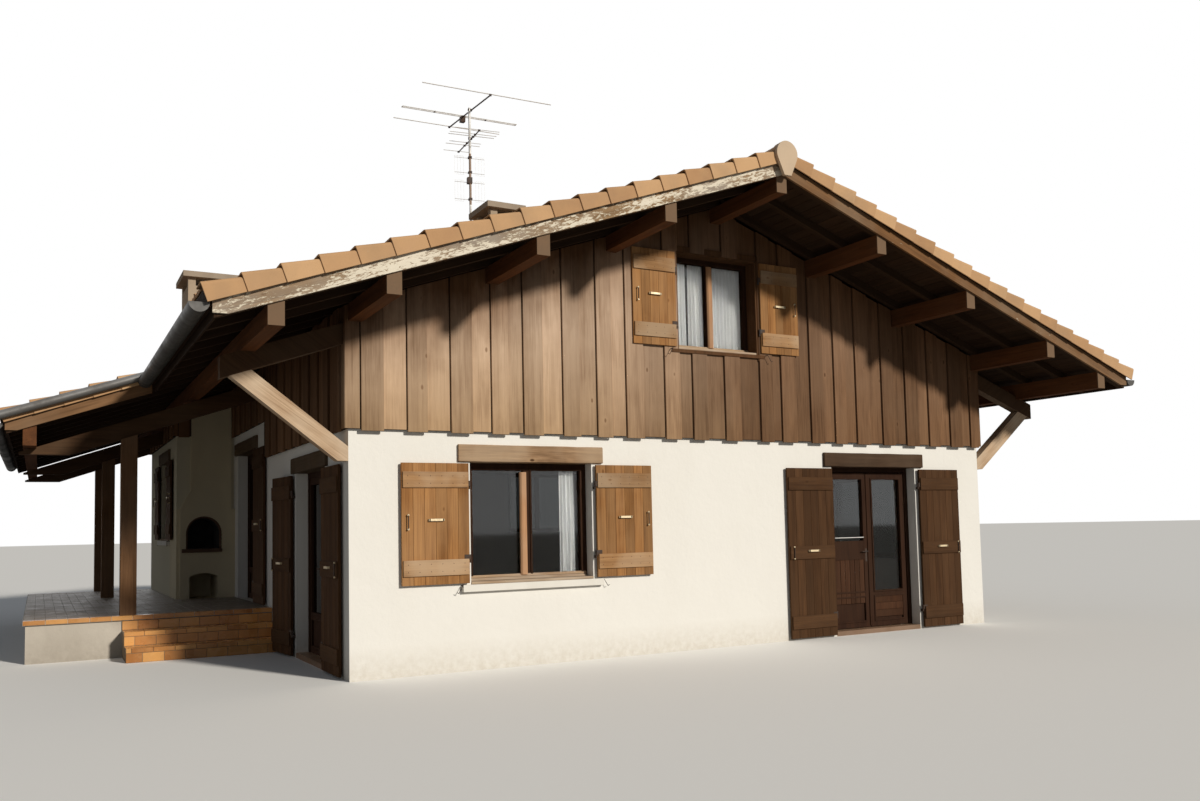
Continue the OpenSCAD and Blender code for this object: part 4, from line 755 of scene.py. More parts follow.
def tile_pattern():
    """One interlocking field tile: x runs up the slope from its butt, y across, z off the roof."""
    profile = [(0.0, 0.020), (0.026, 0.021), (0.045, 0.004), (0.125, 0.0), (0.143, 0.009), (0.161, 0.009),
               (0.179, 0.0), (0.262, 0.002), (0.282, 0.019), (0.300, 0.020)]
    long, n = COURSE + 0.05, len(profile)  # each tile reaches 0.05 m under the next
    points = [(x, y, lift + h) for x, lift in ((0.0, 0.052), (long, 0.020)) for y, h in profile]
    points += [(x, y, lift) for x, lift in ((0.0, 0.030), (long, 0.0)) for y, h in (profile[0], profile[-1])]
    faces = [[i, i + 1, n + i + 1, n + i] for i in range(n - 1)]
    faces.append(list(range(n))[::-1] + [2 * n, 2 * n + 1])
    faces.append([n + i for i in range(n)] + [2 * n + 3, 2 * n + 2])
    faces += [[0, n, 2 * n + 2, 2 * n], [n - 1, 2 * n + 1, 2 * n + 3, 2 * n - 1],
              [2 * n, 2 * n + 2, 2 * n + 3, 2 * n + 1]]
    return pattern(points, faces)


def field_tiles(name, side, butt_u, courses, course, y0, y1, seed, node):
    """Field tiles of one slope, about 0.302 m wide each."""
    mesh = up_the_slope(tile_pattern(), ROOF_CLAY, side, butt_u, FIELD_W, y0, y1, round((y1 - y0) / 0.302),
                        courses, course, 0.0012, 0.004, seed)
    finished(name, mesh, ROOF_CLAY, "house", replaces=(node,))


def deck(name, side, u0, u1, y0, y1):
    """Sarking boards on the rafters, with the closed batten layer above them."""
    thick, count = 0.02, int((u1 - u0) / 0.145)
    board = (u1 - u0) / count
    block = pattern(*chamfered(0, board - 0.004, 0, y1 - y0, 0, thick, 0.003))
    mesh = up_the_slope(block, SARKING, side, u1, RAFTER_TOP, y0, y1, 1, count, board, seed=5)
    finished(name + "_sarking", mesh, SARKING, "house")
    low, high, end = RAFTER_TOP + thick, FIELD_W, u1 - 0.03
    layer = Piece()
    layer.prism([slope_point(side, u, w, 0)[::2] for u, w in ((u0, low), (end, low), (end, high), (u0, high))],
                y0, y1, tone=0.3)
    layer.make(name + "_battens", SHADOW_BACKING, slot="beams")


def verge_tiles(piece, side, butt_u, count, step, y_face, inward):
    """Stepped verge tiles along one slope: a hanging skirt with a rounded shoulder and a top."""
    t, reach = 0.015, 0.262
    for i in range(count):
        u0 = butt_u - i * step
        rings = []
        for u, top, low, out in ((u0, 0.3085, 0.128, -0.010), (u0 - step - 0.012, 0.268, 0.133, 0.004)):
            outer = [(0, low), (0, top - 0.030), (0.004, top - 0.014), (0.014, top - 0.004), (0.030, top),
                     (reach, top - 0.004)]
            inner = [(reach, top - 0.004 - t), (0.030, top - t), (t + 0.004, top - 0.030), (t, low)]
            rings.append([slope_point(side, u, w, y_face + inward * (d + out)) for d, w in outer + inner])
        piece.rings(rings)


def ridge_caps():
    """Half-round ridge tiles on a mortar bed, each lapping over the next with a raised collar."""
    ridge = Piece()
    centre, count, thick = RIDGE + 0.220, 33, 0.016
    y0, y1 = VERGE_F - VERGE_OUT + 0.004, VERGE_B + VERGE_OUT - 0.004
    step = (y1 - y0) / count
    arc = [math.radians(t) for t in range(-8, 189, 14)]
    for i in range(count):
        a = y0 + i * step
        rings = []
        for y, r in ((a, 0.149), (a + 0.055, 0.149), (a + 0.060, 0.137), (a + step + 0.02, 0.132)):
            if i == count - 1:
                y = min(y, y1)
            rings.append([(q * math.cos(t), y, centre + q * math.sin(t))
                          for q, turn in ((r, arc), (r - thick, arc[::-1])) for t in turn])
        ridge.rings(rings)
    bed = [(-0.15, 0.035), (-0.10, 0.075), (0, 0.10), (0.10, 0.075), (0.15, 0.035), (0.08, -0.06), (-0.08, -0.06)]
    ridge.prism([(x, centre + z) for x, z in bed], y0 + 0.01, y1 - 0.01, tone=0.4, finish=1)
    ridge.make("ridge_caps", [ROOF_CLAY, JOINT_MORTAR], slot="roof_tiles", bevel=0.003, replaces=("ridge_tiles",))


# Each slope: its side, its front verge, its upper and lower end, its tiles' lowest butt, rows, course and seed
SLOPES = {
    "left": (-1, VERGE_F, 0.06, EAVE / COS, BUTT, ROWS, COURSE, 3),
    "right": (1, VERGE_F, 0.06, EAVE / COS, BUTT, ROWS, COURSE, 7),
    "porch": (-1, PORCH_VERGE, EAVE / COS, PORCH_EAVE / COS, BUTT + PORCH_ROWS * PORCH_COURSE, PORCH_ROWS,
              PORCH_COURSE, 9),
}


def roof():
    """Field tiles and deck of each slope, verge tiles along its two edges, and the ridge."""
    verge = Piece()
    butt_in, deck_in = 0.03, 0.03  # behind the butts and the faces of the verge tiles
    for name, (side, front, _, _, butt, rows, course, seed) in SLOPES.items():
        laid = course if name == "porch" else course - 0.0016
        field_tiles(name + "_field_tiles", side, butt - butt_in, rows, laid, front + VERGE_W, VERGE_B - VERGE_W,
                    seed, name + "_roof")
    for name, (side, front, top, foot, *_) in SLOPES.items():
        deck(name + "_deck", side, top, foot, front + deck_in, VERGE_B - deck_in)
    for side, front, _, _, butt, rows, course, _ in SLOPES.values():
        verge_tiles(verge, side, butt, rows, course, front - VERGE_OUT, 1)
        verge_tiles(verge, side, butt, rows, course, VERGE_B + VERGE_OUT, -1)
    verge.make("verge_tiles", VERGE_CLAY, slot="roof_tiles", bevel=0.002)
    ridge_caps()


# ---------------------------------------------------------------- walls and their openings
def wall_place(x, y, turn):
    """The frame of a wall: x along its face, y inwards."""
    return Matrix.Translation((x, y, 0)) @ Matrix.Rotation(math.radians(turn), 4, "Z")


def shift(place, s, z=0.0, y=0.0):
    return place @ Matrix.Translation((s, y, z))


def on_left(far, x=WALL_L):
    """The frame of an opening in a wall on the left, whose far jamb is that far from the front corner."""
    return wall_place(x, WALL_F + far, -90)


MIRROR = Matrix.Scale(-1, 4, (1, 0, 0))
FRONT, RIGHT = wall_place(WALL_L, WALL_F, 0), wall_place(WALL_R, WALL_F, 90)
BACK = wall_place(WALL_R, WALL_B, 180)
WINDOW_W, GABLE_W = 1.52, 1.24
SILL, HEAD, GABLE_SILL, GABLE_HEAD = 0.93, 2.27, 3.70, 4.93
BACK_SILL, BACK_HEAD = SILL + PORCH_Z, HEAD + PORCH_Z
FRENCH_S, GABLE_S = 6.55, 4.08

# Each opening: its frame at the left jamb, its width, its sill and its head
OPENINGS = {
    "front": (shift(FRONT, 1.34), WINDOW_W, SILL, HEAD),
    "french": (shift(FRONT, FRENCH_S), 1.55, 0, HEAD),
    "side": (on_left(2.45), 1.47, 0, HEAD),
    "porch": (on_left(6.62), 1.56, PORCH_Z, BACK_HEAD),
    "right_near": (shift(RIGHT, 1.40), WINDOW_W, SILL, HEAD),
    "right_far": (shift(RIGHT, 6.60), WINDOW_W, BACK_SILL, BACK_HEAD),
    "back_near": (shift(BACK, 1.34), WINDOW_W, BACK_SILL, BACK_HEAD),
    "back_far": (shift(BACK, 6.54), WINDOW_W, BACK_SILL, BACK_HEAD),
    "annex": (on_left(9.14, ANNEX_X), 1.20, BACK_SILL, BACK_HEAD),
    "gable_front": (shift(FRONT, GABLE_S), GABLE_W, GABLE_SILL, GABLE_HEAD),
    "gable_back": (shift(BACK, GABLE_S), GABLE_W, GABLE_SILL, GABLE_HEAD),
}
DOORS, GABLES = ("french", "side", "porch"), ("gable_front", "gable_back")
WINDOWS = ("front", "right_near", "right_far", "back_near", "back_far", "annex", *GABLES)
LENGTHWISE = ("right_near", "right_far", "annex")  # windows whose sills run along the house


def board_outline(s0, s1, base, top, ridge_s):
    peak = [(ridge_s, top(ridge_s))] if ridge_s is not None and s0 < ridge_s < s1 else []
    return [(s0, base), (s1, base), (s1, top(s1)), *peak, (s0, top(s0))]


def cladding(piece, place, s0, s1, base, top, proud, hole=None, ridge_s=None):
    """Cover boards over a flat layer of boards; proud lists each cover board's start and width. The flat boards
    stop short of each cover board's left edge, so that the near-black backing shows there as a painted shadow
    line.
    """
    # The flat boards stop short of each cover board's left edge, leaving a gap where the near-black backing shows
    # as a painted shadow line.
    flat, cover, shadow_gap, drop = 0.006, 0.030, 0.010, 0.022
    spans, at = [], s0
    for start, width in proud:
        if start - 0.012 > at:
            spans.append((at, start - shadow_gap, flat, 0.0))
        spans.append((max(start, s0), min(start + width, s1), cover, drop))
        at = start + width
    if at < s1:
        spans.append((at, s1, flat, 0.0))
    for a, b, thick, hang in spans:
        cuts = sorted({a, b} | ({c for c in hole[:2] if a < c < b} if hole else set()))
        tone = random.random()
        for c, d in zip(cuts, cuts[1:]):
            middle = (c + d) / 2
            foot = base(middle) - hang
            blocked = hole and hole[0] < middle < hole[1]
            for low, high in [(foot, lambda s: hole[2]), (hole[3], top)] if blocked else [(foot, top)]:
                piece.prism(board_outline(c, d, low, high, ridge_s), -CLAD - thick, -CLAD, tone=tone, place=place)


FRONT_PROUD = [(0.12, 0.24), (0.62, 0.22), (1.11, 0.25), (1.59, 0.20), (1.98, 0.24), (2.48, 0.22), (2.93, 0.20),
               (3.33, 0.24), (3.88, 0.22), (4.29, 0.22), (4.78, 0.24), (5.34, 0.20), (5.69, 0.24), (6.18, 0.22),
               (6.60, 0.20), (6.99, 0.24), (7.47, 0.22), (7.92, 0.24), (8.37, 0.21), (8.80, 0.24), (9.22, 0.16)]


def even_proud(s0, s1, seed):
    """Cover boards of about 0.22 m with gaps of about their own width."""
    rng = random.Random(seed)
    found, at = [], s0 + 0.10
    while at < s1 - 0.30:
        width = rng.uniform(0.20, 0.25)
        found.append((at, width))
        at += width + rng.uniform(0.20, 0.28)
    return found


def boards(name, *faces):
    """One piece with the boards of one or more faces of the walls."""
    piece = Piece()
    for face in faces:
        cladding(piece, *face)
    piece.make(name, BOARDS, slot="boarding", bevel=0.002)


def level(z):
    """A foot or a top of boards that stays at one height."""
    return lambda s: z


def stepped(s):
    """The foot of the boards along the house."""
    return STOREY if s < SPLIT_Y - WALL_F else BACK_H


def sloped(x):
    """The top of boards across the house on a wall that starts at x."""
    return lambda s: roof_z(x + s) - 0.004


def under_eave(x):
    """The top of boards along the house on a wall at x."""
    return level(roof_z(x - CLAD) - 0.006)


def boarded_walls():
    """Boards on the two gables, the two long walls and the annex with its short front."""
    across, back_end, corner = (-CLAD, HOUSE_W + CLAD), HOUSE_D + CLAD, ANNEX_Y - WALL_F
    window = (GABLE_S, GABLE_S + GABLE_W, GABLE_SILL, GABLE_HEAD)
    boards("front_gable_boards", (FRONT, *across, level(STOREY), sloped(WALL_L), FRONT_PROUD, window, HOUSE_W / 2))
    boards("back_gable_boards", (BACK, *across, level(BACK_H), sloped(WALL_L), even_proud(0, HOUSE_W, 4), window,
                                 HOUSE_W / 2))
    boards("right_side_boards", (RIGHT, -CLAD, back_end, stepped, under_eave(WALL_L), even_proud(0, HOUSE_D, 8)))
    boards("left_side_boards", (on_left(0) @ MIRROR, -CLAD, corner, stepped, under_eave(WALL_L),
                                even_proud(0, corner - 0.04, 9)))
    boards("annex_boards", (on_left(0, ANNEX_X) @ MIRROR, corner - 0.04, back_end, level(BACK_H),
                            under_eave(ANNEX_X), even_proud(corner + 0.01, HOUSE_D, 10)),
           (wall_place(ANNEX_X, ANNEX_Y, 0), -CLAD, 0.20, level(BACK_H), sloped(ANNEX_X), [(0.02, 0.16)]))


# ---------------------------------------------------------------- shutters
LEAF_T, LEAF_EDGE = 0.030, 0.014  # thickness of a leaf, and from its edge to the hinge axis
BATTEN_T, BATTEN_H = 0.018, 0.17
HINGE_OUT, HINGE_GAP = 0.020, 0.040  # the hinge axis, from the jamb and from the wall
FACE = -LEAF_T / 2


def leaf_boards(leaf, w, h, battens):
    """Upright boards on a thin core, and battens nailed across them."""
    count = max(4, round(w / 0.125))
    board, free = w / count, -w - LEAF_EDGE
    leaf.box(free + 0.004, -LEAF_EDGE - 0.004, FACE + 0.005, -FACE - 0.004, 0.004, h - 0.004, tone=0.2)
    for i in range(count):
        x = free + i * board
        leaf.box(x + 0.0012, x + board - 0.0012, FACE, -FACE, 0, h)
    for z in battens:
        leaf.box(free + 0.012, -LEAF_EDGE - 0.012, FACE - BATTEN_T, FACE, z, z + BATTEN_H, finish=1)
        for i in range(count):
            x = free + (i + 0.5) * board
            for dz in (0.045, 0.125):
                leaf.rod((x, FACE - 0.0195, z + dz), (x, FACE - 0.010, z + dz), 0.005, 6, finish=2, tone=0.5)


def leaf_hinges(leaf, h):
    """Two barrels on the axis, with their straps."""
    tall = 0.06
    for z in (0.25, h - 0.25):
        leaf.rod((0, 0, z), (0, 0, z + tall), 0.011, 12, finish=2, tone=0.5)
        leaf.box(-0.075, 0, FACE - 0.003, FACE, z, z + tall, finish=2, tone=0.5)
        leaf.box(-LEAF_EDGE, 0, -0.004, 0.004, z, z + tall, finish=2, tone=0.5)


def leaf_catches(leaf, w, bar_z, battens):
    """A brass bar on two brackets in the middle, and an iron pull on two knobs at the free edge."""
    middle, half = -LEAF_EDGE - w / 2, 0.013
    front = FACE - (BATTEN_T if any(z <= bar_z <= z + BATTEN_H for z in battens) else 0)
    low, high = bar_z - half, bar_z + half
    leaf.box(middle - 0.085, middle + 0.085, front - 0.026, front - 0.018, low, high, finish=3)
    for dx in (-0.078, 0.078):
        leaf.box(middle + dx - 0.010, middle + dx + 0.010, front - 0.026, front, low, high, finish=3)
    x, z, out = -w - LEAF_EDGE + 0.065, bar_z - 0.02, FACE - 0.028
    for dz in (-0.075, 0.075):
        leaf.rod((x, FACE, z + dz), (x, FACE - 0.032, z + dz), 0.011, finish=3)
    leaf.rod((x, out, z - 0.08), (x, out, z + 0.08), 0.006, finish=2)


def shutter(name, opening, hand, woods, body="house", node=None, ajar=0.0):
    """A leaf of an opening's pair, open on its hinge axis towards -x, with the battens on its outer face."""
    place, width, low, high = OPENINGS[opening]
    door, gable = opening in DOORS, opening in GABLES
    play, margin = 0.025 if door or gable else 0.019, 0.120 if door else 0.095
    w, h = width / 2, high - low - 2 * play
    axis = shift(place, -HINGE_OUT if hand == "l" else width + HINGE_OUT, low + play,
                 -HINGE_GAP - (CLAD if gable else 0))
    leaf = Piece(axis @ (Matrix.Rotation(ajar, 4, "Z") if hand == "l" else MIRROR))
    battens = [margin, h - margin - BATTEN_H]
    if door:
        battens.insert(1, (h - BATTEN_H) / 2)
    leaf_boards(leaf, w, h, battens)
    leaf_hinges(leaf, h)
    leaf_catches(leaf, w, 1.13 if door else h * 0.53, battens)
    leaf.make(name, [*woods, IRON, BRASS], body, "shutter_wood", bevel=0.0022, replaces=(node,) if node else ())


def shutters():
    """The leaves that turn, and the pairs that stay open."""
    golden, golden_y = (SHUTTER_GOLD, BATTEN_X), (SHUTTER_GOLD, BATTEN_GOLD_Y)
    brown, brown_y = (SHUTTER_BROWN, BATTEN_DARK), (SHUTTER_BROWN, BATTEN_Y)
    shutter("window_shutter_boards_l", "front", "l", golden, "window_shutter_l", "window_shutter_left")
    shutter("window_shutter_boards_r", "front", "r", golden, "window_shutter_r", "window_shutter_right")
    shutter("french_shutter_boards_l", "french", "l", brown, "french_shutter_l", "french_shutter_left")
    shutter("french_shutter_boards_r", "french", "r", brown, "french_shutter_r", "french_shutter_right")
    shutter("side_shutter_boards_n", "side", "r", brown_y, "side_shutter_n", "side_shutter_near")
    shutter("side_shutter_boards_f", "side", "l", brown_y, "side_shutter_f", "side_shutter_far", AJAR)
    shutter("porch_shutter_boards", "porch", "r", brown_y, "porch_shutter_n", "porch_shutter")
    node = "fixed_shutters"
    pairs = {"gable_front": golden, "gable_back": golden, "right_near": golden_y, "right_far": golden_y,
             "back_near": golden, "back_far": golden, "annex": brown_y}
    for opening, woods in pairs.items():
        for hand in ("l", "r"):
            shutter(f"shutter_{opening}_{hand}", opening, hand, woods, node=node)
            node = None


# ---------------------------------------------------------------- curtains
def curtain(name, x0, x1, z0, z1, y, folds, depth, seed):
    """A gathered curtain hung between two sides of a window; the cloth is cut wider than it hangs."""
    rng = random.Random(seed)
    columns, rows = folds * 8, 14
    phase = [rng.uniform(0.8, 1.25) for _ in range(folds + 1)]
    points = []
    for j in range(rows + 1):
        f = j / rows
        for i in range(columns + 1):
            s = i / columns
            fold = s * folds
            swell = phase[int(fold) % len(phase)] * (0.75 + 0.45 * f)
            points.append((x0 + (x1 - x0) * s + 0.004 * math.sin(3.1 * fold + 2 * f),
                           y + depth * swell * math.sin(2 * math.pi * fold + 0.5 * math.sin(2.2 * f + fold)),
                           z1 + (z0 - z1) * f))
    across = columns + 1
    faces = [[j * across + i, j * across + i + 1, (j + 1) * across + i + 1, (j + 1) * across + i]
             for j in range(rows) for i in range(columns)]
    mesh = new_mesh(name, points, faces)
    outwards(mesh)
    mesh.polygons.foreach_set("use_smooth", [True] * len(mesh.polygons))
    obj = finished(name, mesh, CURTAIN, "house")


def curtains():
    """Two behind the panes of the front gable's window, and one drawn aside in the front window."""
    gable = (3.74, 4.90, -5.275)  # foot, top and place in y
    curtain("gable_curtain_left", -0.60, -0.30, *gable, 6, 0.020, 1)
    curtain("gable_curtain_right", -0.26, 0.56, *gable, 15, 0.020, 2)
    curtain("window_curtain", -2.14, -1.95, 0.98, 2.22, -5.24, 4, 0.022, 3)


# ---------------------------------------------------------------- lintels, sills and windows
def hewn(piece, x0, x1, y0, y1, z0, z1, place, wobble=0.004, cut=0.008, finish=0, seed=1):
    """A beam along x with cut edges and the slight waves of the adze."""
    rng = random.Random(seed)
    count = max(3, round((x1 - x0) / 0.16))
    rings = []
    for i in range(count + 1):
        x = x0 + (x1 - x0) * i / count
        front, foot, edge, head = (rng.uniform(-wobble, wobble) for _ in range(4))
        a, c, d = y0 + front, z0 + foot * 0.5, z1 + head * 0.5
        rings.append([(x, a + cut, c), (x, y1, c), (x, y1, d), (x, a + cut, d), (x, a, d - cut - abs(edge)),
                      (x, a, c + cut)])
    piece.rings(rings, place=place, finish=finish)


def lintel_beams():
    """Hewn lintels: golden brown across the front and back, darker over the French doors and along the sides."""
    beams = Piece()
    finishes = {"front": 0, "french": 1, "side": 2, "porch": 2, "right_near": 2, "right_far": 2, "back_near": 0,
                "back_far": 0, "annex": 2}
    rest, proud, deep, high = 0.14, 0.038, 0.30, 0.19
    for seed, (opening, finish) in enumerate(finishes.items(), 20):
        place, width, _, head = OPENINGS[opening]
        hewn(beams, -rest, width + rest, -proud, deep, head + 0.001, head + high, place, finish=finish, seed=seed)
    beams.make("lintel_beams", [LINTEL_X, LINTEL_DARK, LINTEL_Y], slot="beams", bevel=0.003, replaces=("lintels",))


def light_beads(piece, x0, x1, z0, z1, y, place):
    """The moulded bead round one pane, proud of the frame."""
    w, t = 0.022, 0.012
    for a, b, c, d in ((x0 - w, x1 + w, z0 - w, z0), (x0 - w, x1 + w, z1, z1 + w), (x0 - w, x0, z0, z1),
                       (x1, x1 + w, z0, z1)):
        piece.box(a, b, y - t, y, c, d, place=place, tone=0.5)


def window_joinery():
    """Beads, meeting strips and weather bars on the windows, and timber boards on their sills."""
    beads, sills = Piece(), Piece()
    bar, middle = 0.08, 0.05  # breadth of the frame's bars and half of its middle post
    for opening in WINDOWS:
        place, width, low, high = OPENINGS[opening]
        gable, finish = opening in GABLES, int(opening in LENGTHWISE)
        y = GABLE_SET if gable else FRAME_SET
        for a, b in ((bar, width / 2 - middle), (width / 2 + middle, width - bar)):
            light_beads(beads, a, b, low + bar, high - bar, y, place)
        m = width / 2 - (0.06 if opening == "front" else 0)
        half = ((0.044, 0), (0.042, 0.020), (0.024, 0.036))
        strip = [(m - x, y - d) for x, d in half] + [(m + x, y - d) for x, d in half[::-1]]
        beads.add([(x, d, z) for z in (low + 0.075, high - 0.10) for x, d in strip], prism_faces(6), place=place,
                  finish=1, tone=0.5)
        for a, b, c, out in ((0.031, 0.060, 0.034, 0.012), (0.061, 0.090, 0.020, 0.004)):
            sills.add([(x, d, low + z) for x in (0.02, width - 0.02)
                       for d, z in ((y, b), (y - out, b), (y - c, a + 0.008), (y - c, a), (y, a))],
                      prism_faces(5), place=place, finish=finish, tone=0.3 + 8 * a)
        hewn(sills, 0.002, width - 0.002, -0.012 - (CLAD if gable else 0), y + 0.02, low, low + 0.030, place,
             0.0015, 0.006, finish, len(opening))
    beads.make("window_beads", [FRAME_WOOD, MULLION_WOOD], slot="frame_wood", bevel=0.002)
    sills.make("sill_boards", [SILL_WOOD_X, SILL_WOOD_Y], slot="frame_wood", bevel=0.002)


def gable_casings():
    """Plain casing boards round the gable windows, over the boarding, and linings in the reveals."""
    casing = Piece()
    wide, low, top, lining, face = 0.075, GABLE_SILL - 0.08, GABLE_HEAD + 0.07, 0.018, -CLAD
    for opening in GABLES:
        place = OPENINGS[opening][0]
        for a, b, z in ((-wide, -0.002, low), (GABLE_W + 0.002, GABLE_W + wide, low),
                        (-wide, GABLE_W + wide, GABLE_HEAD + 0.002)):
            casing.box(a, b, face - 0.026, face, z, top, place=place)
        casing.box(-0.10, GABLE_W + 0.10, face - 0.040, face, GABLE_SILL - 0.045, GABLE_SILL - 0.002, place=place)
        for a, b, z in ((0.0, lining, GABLE_SILL), (GABLE_W - lining, GABLE_W, GABLE_SILL),
                        (0.0, GABLE_W, GABLE_HEAD - lining)):
            casing.box(a, b, face - 0.02, GABLE_SET, z, GABLE_HEAD, place=place)
    casing.make("gable_casings", [CASING], slot="frame_wood", bevel=0.002)


def lever_handle(piece, x, plate, foot, top, spindle, finish, place):
    """A lever on its back plate, seen from outside, at the edge x of a leaf."""
    z, out, r = 1.04, -0.042, 0.008
    piece.box(x - 0.062, x - plate, -0.006, 0.0, foot, top, finish=finish, place=place)
    piece.rod((x - spindle, -0.045, z), (x - spindle, 0, z), r, finish=finish, place=place)
    piece.rod((x - 0.150, out, z), (x - 0.040, out, z), r, finish=finish, place=place)


def door_joinery():
    """Beads, panel mouldings and furniture on the glazed doors, and the same on the doors behind the shutters."""
    leaf_w, high, inner, rail, half_rail = 0.700, 2.13, 0.09, 0.45, 0.045
    for i, body in enumerate(("french_door_left", "french_door_right")):
        place = shift(FRONT, FRENCH_S + 0.07 + i * 0.71, 0.07, DOOR_SET)
        piece = Piece()
        light_beads(piece, inner, leaf_w - inner, rail + half_rail, high - inner, 0, place)
        light_beads(piece, inner, leaf_w - inner, inner, rail - half_rail, 0.002, place)
        if i == 0:
            piece.box(inner - 0.004, leaf_w - inner + 0.004, -0.010, 0.004, 0.93, 1.19, place=place)
            piece.rod((inner, -0.014, 1.235), (leaf_w - inner, -0.014, 1.235), 0.007, finish=1, place=place)
            slat = (leaf_w - 2 * inner) / 6
            for j in range(6):
                piece.box(inner + j * slat + 0.003, inner + (j + 1) * slat - 0.003, -0.004, 0.003, 0.33, 0.93,
                          place=place, finish=2)
            lever_handle(piece, leaf_w, 0.028, 0.90, 1.08, 0.045, 3, place)
        else:
            piece.box(-0.022, 0.020, -0.012, 0.0, 0.02, high - 0.02, place=place)
            for j in range(3):
                piece.box(inner, leaf_w - inner, -0.003, 0.006, 0.125 + j * 0.098, 0.220 + j * 0.098, place=place,
                          finish=2)
        piece.make(body + "_joinery", [FRAME_WOOD, ALUMINIUM, PANEL_WOOD, IRON], body, "frame_wood", bevel=0.0015)
    fixed = Piece()
    for opening, leaf_h, base in (("side", 2.15, 0.06), ("porch", 2.21, PORCH_Z)):
        place, width = OPENINGS[opening][:2]
        w = (width - 0.12) / 2
        for i in (0, 1):
            at = shift(place, 0.06 + i * w, base, DOOR_SET)
            light_beads(fixed, inner, w - inner, rail + half_rail, leaf_h - inner, 0, at)
            light_beads(fixed, inner, w - inner, inner, rail - half_rail, 0.002, at)
        fixed.box(-0.022, 0.022, -0.014, 0.0, 0.02, leaf_h - 0.02, place=at)
        lever_handle(fixed, 0, 0.030, 0.88, 1.10, 0.046, 1, at)
    fixed.make("fixed_door_joinery", [FRAME_WOOD, IRON], "house", "frame_wood", bevel=0.0015)


# ---------------------------------------------------------------- porch: steps, floor and oven
STEP_L, STEP_R, STEP_Y, TREAD, RISER = -6.55, WALL_L, -2.273, 0.335, PORCH_Z / 3


def tile_run(piece, x0, x1, width, first, y0, y1, z0, z1, joint=0.006, chamfer=0.003):
    """One row of tiles from x0 to x1, with its first joint at a chosen place."""
    cuts = [x0] + [x for x in (first + width * j for j in range(40)) if x0 + 0.03 < x < x1 - 0.03] + [x1]
    for a, b in zip(cuts, cuts[1:]):
        piece.add(*chamfered(a + joint / 2, b - joint / 2, y0, y1, z0, z1, chamfer))


def steps():
    """A mortar core under glazed tiles on the risers, the nosings and the treads."""
    inset, back, width = 0.010, -1.575, (STEP_R - STEP_L) / 7.5
    core, tiles = Piece(), Piece()
    for y, low, high in ((STEP_Y + inset, 0.0, RISER - inset),
                         (STEP_Y + TREAD + inset, RISER - inset, 2 * RISER - inset),
                         (-1.592, 2 * RISER - inset, PORCH_Z - 0.06)):
        core.box(STEP_L + 0.004, STEP_R, y, back, low, high, tone=0.5)
    core.make("steps_core", JOINT_MORTAR, slot="floor_tiles", replaces=("porch_steps",))

    def run(start, y0, y1, z0, z1):
        tile_run(tiles, STEP_L, STEP_R, width, STEP_L + start * width, y0, y1, z0, z1)

    for i in range(3):
        y, z = STEP_Y + i * TREAD, i * RISER
        run(0.5 if i % 2 else 0.75, y + 0.004, y + 0.020, z + 0.002, z + 0.113)
        if i < 2:
            run(0.95 if i % 2 else 0.25, y, y + 0.115, z + 0.119, z + RISER)
            for row in range(2):
                run(0.5 + 0.5 * row, y + 0.121 + row * 0.108, y + 0.223 + row * 0.108, z + RISER - 0.012,
                    z + RISER - 0.001)
    tiles.make("step_tiles", GLAZED, slot="floor_tiles")


def porch_tiles():
    """Grey glazed tiles on the porch floor, and the orange row that caps its front edge."""
    w, d, left, proud = 0.245, 0.1233, -7.645, 0.008
    front, back, oven_front, oven_side = -1.488, 5.49, 1.40, -5.53
    floor, edge = Piece(), Piece()
    for row in range(int((back - front) / d)):
        y = front + row * d
        right = WALL_L if y + d <= oven_front else (oven_side if y < ANNEX_Y else ANNEX_X)
        tile_run(floor, left, right, w, left + (w if row % 2 else w / 2), y + 0.003, y + d - 0.003, PORCH_Z,
                 PORCH_Z + proud, chamfer=0.0025)
    floor.make("porch_floor_tiles", GLAZED_GREY, slot="floor_tiles")
    left -= 0.005
    tile_run(edge, left, STEP_R, w, left + w, -1.609, -1.490, PORCH_Z - 0.047, PORCH_Z + proud)
    edge.make("porch_edge_tiles", GLAZED, slot="floor_tiles")


